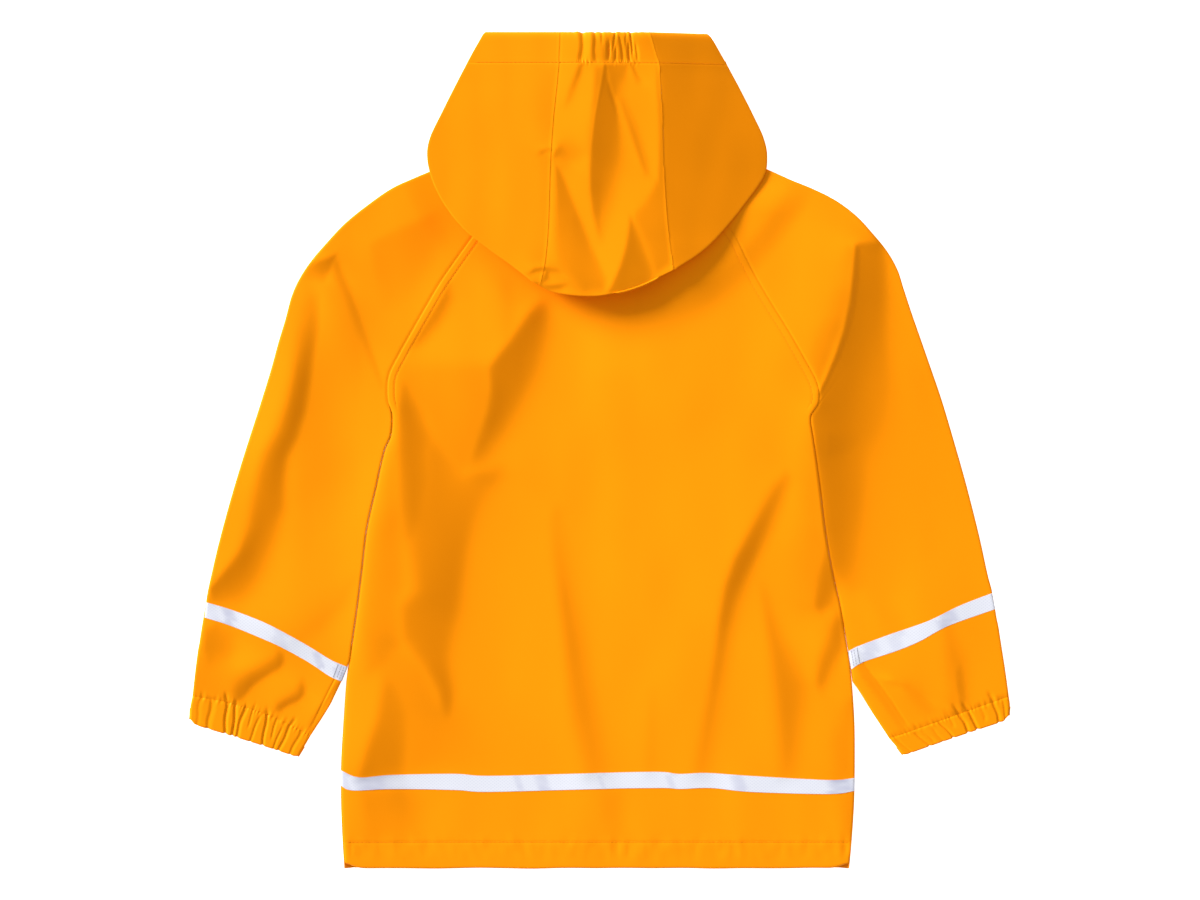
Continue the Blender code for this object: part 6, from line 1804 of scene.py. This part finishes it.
class RAINCOAT_OT_tape(bpy.types.Operator):
    """Build the reflective tape round the hem and the sleeves"""
    bl_idname = "raincoat.tape"
    bl_label = "Reflective tape"

    def execute(self, context):
        make_body_tape(finish("reflective tape"))
        make_sleeve_tape(finish("reflective tape"))
        return {"FINISHED"}


class RAINCOAT_OT_studs(bpy.types.Operator):
    """Build the press studs"""
    bl_idname = "raincoat.studs"
    bl_label = "Press studs"

    def execute(self, context):
        make_studs(finish("stud metal"))
        return {"FINISHED"}


class RAINCOAT_OT_stitches(bpy.types.Operator):
    """Build the rows of stitches"""
    bl_idname = "raincoat.stitches"
    bl_label = "Stitches"

    def execute(self, context):
        make_stitches(finish("thread"))
        make_tape_stitches(finish("tape thread and fold shade"))
        return {"FINISHED"}


class RAINCOAT_OT_stage(bpy.types.Operator):
    """Build the floor, the lights and the camera"""
    bl_idname = "raincoat.stage"
    bl_label = "Stage"

    def execute(self, context):
        settings = context.scene.raincoat_stage
        scene = context.scene
        mesh = bpy.data.meshes.new("floor")
        corners = [(x * FLOOR_HALF, y * FLOOR_HALF, FLOOR_Z) for x, y in ((-1, -1), (1, -1), (1, 1), (-1, 1))]
        mesh.from_pydata(corners, [], [(0, 1, 2, 3)])
        floor = bpy.data.objects.new("floor", mesh)
        scene.collection.objects.link(floor)
        material, _, _, shader = new_material("white paper", PAPER_ROUGHNESS)
        shader.inputs["Base Color"].default_value = PAPER
        shader.inputs["Emission Color"].default_value = WHITE
        shader.inputs["Emission Strength"].default_value = PAPER_GLOW
        mesh.materials.append(material)
        sun = bpy.data.lights.new("key light", "SUN")
        sun.energy = settings.key
        sun.angle = settings.key_spread
        lamp = bpy.data.objects.new("key light", sun)
        way = Vector((math.cos(settings.key_azimuth) * math.cos(settings.key_elevation),
                      math.sin(settings.key_azimuth) * math.cos(settings.key_elevation),
                      math.sin(settings.key_elevation)))
        lamp.rotation_euler = way.to_track_quat("Z", "Y").to_euler()
        lamp.location = way * LAMP_AWAY
        scene.collection.objects.link(lamp)
        world = bpy.data.worlds.new("even light")
        world.use_nodes = True
        background = world.node_tree.nodes["Background"]
        background.inputs["Color"].default_value = WHITE
        background.inputs["Strength"].default_value = settings.ambient
        scene.world = world
        camera = bpy.data.cameras.new("camera")
        camera.lens = settings.focal
        camera.sensor_width = SENSOR
        view = bpy.data.objects.new("camera", camera)
        view.location = (0.0, CAMERA_Y, settings.camera_height)
        scene.collection.objects.link(view)
        scene.camera = view
        scene.view_settings.view_transform = "Standard"
        return {"FINISHED"}


class RAINCOAT_PT_panel(bpy.types.Panel):
    """Lists the steps that build the jacket"""
    bl_label = "Rain jacket"
    bl_idname = "RAINCOAT_PT_panel"
    bl_space_type = "VIEW_3D"
    bl_region_type = "UI"
    bl_category = "Rain jacket"

    def draw(self, context):
        for group in (context.scene.raincoat_cloth, context.scene.raincoat_stage):
            for name in group.bl_rna.properties.keys():
                if name not in ("rna_type", "name"):
                    self.layout.prop(group, name)
        for operator in OPERATORS:
            self.layout.operator(operator.bl_idname)


GROUPS = (RaincoatCloth, RaincoatStage)
OPERATORS = (RAINCOAT_OT_finishes, RAINCOAT_OT_body, RAINCOAT_OT_sleeves, RAINCOAT_OT_hood,
             RAINCOAT_OT_tape, RAINCOAT_OT_studs, RAINCOAT_OT_stitches, RAINCOAT_OT_stage)
CLASSES = GROUPS + OPERATORS + (RAINCOAT_PT_panel,)


def register():
    for item in CLASSES:
        bpy.utils.register_class(item)
    bpy.types.Scene.raincoat_cloth = PointerProperty(type=RaincoatCloth)
    bpy.types.Scene.raincoat_stage = PointerProperty(type=RaincoatStage)


def unregister():
    del bpy.types.Scene.raincoat_stage
    del bpy.types.Scene.raincoat_cloth
    for item in reversed(CLASSES):
        bpy.utils.unregister_class(item)


def main():
    register()
    for operator in OPERATORS:
        group, name = operator.bl_idname.split(".")
        getattr(getattr(bpy.ops, group), name)()


if __name__ == "__main__":
    main()
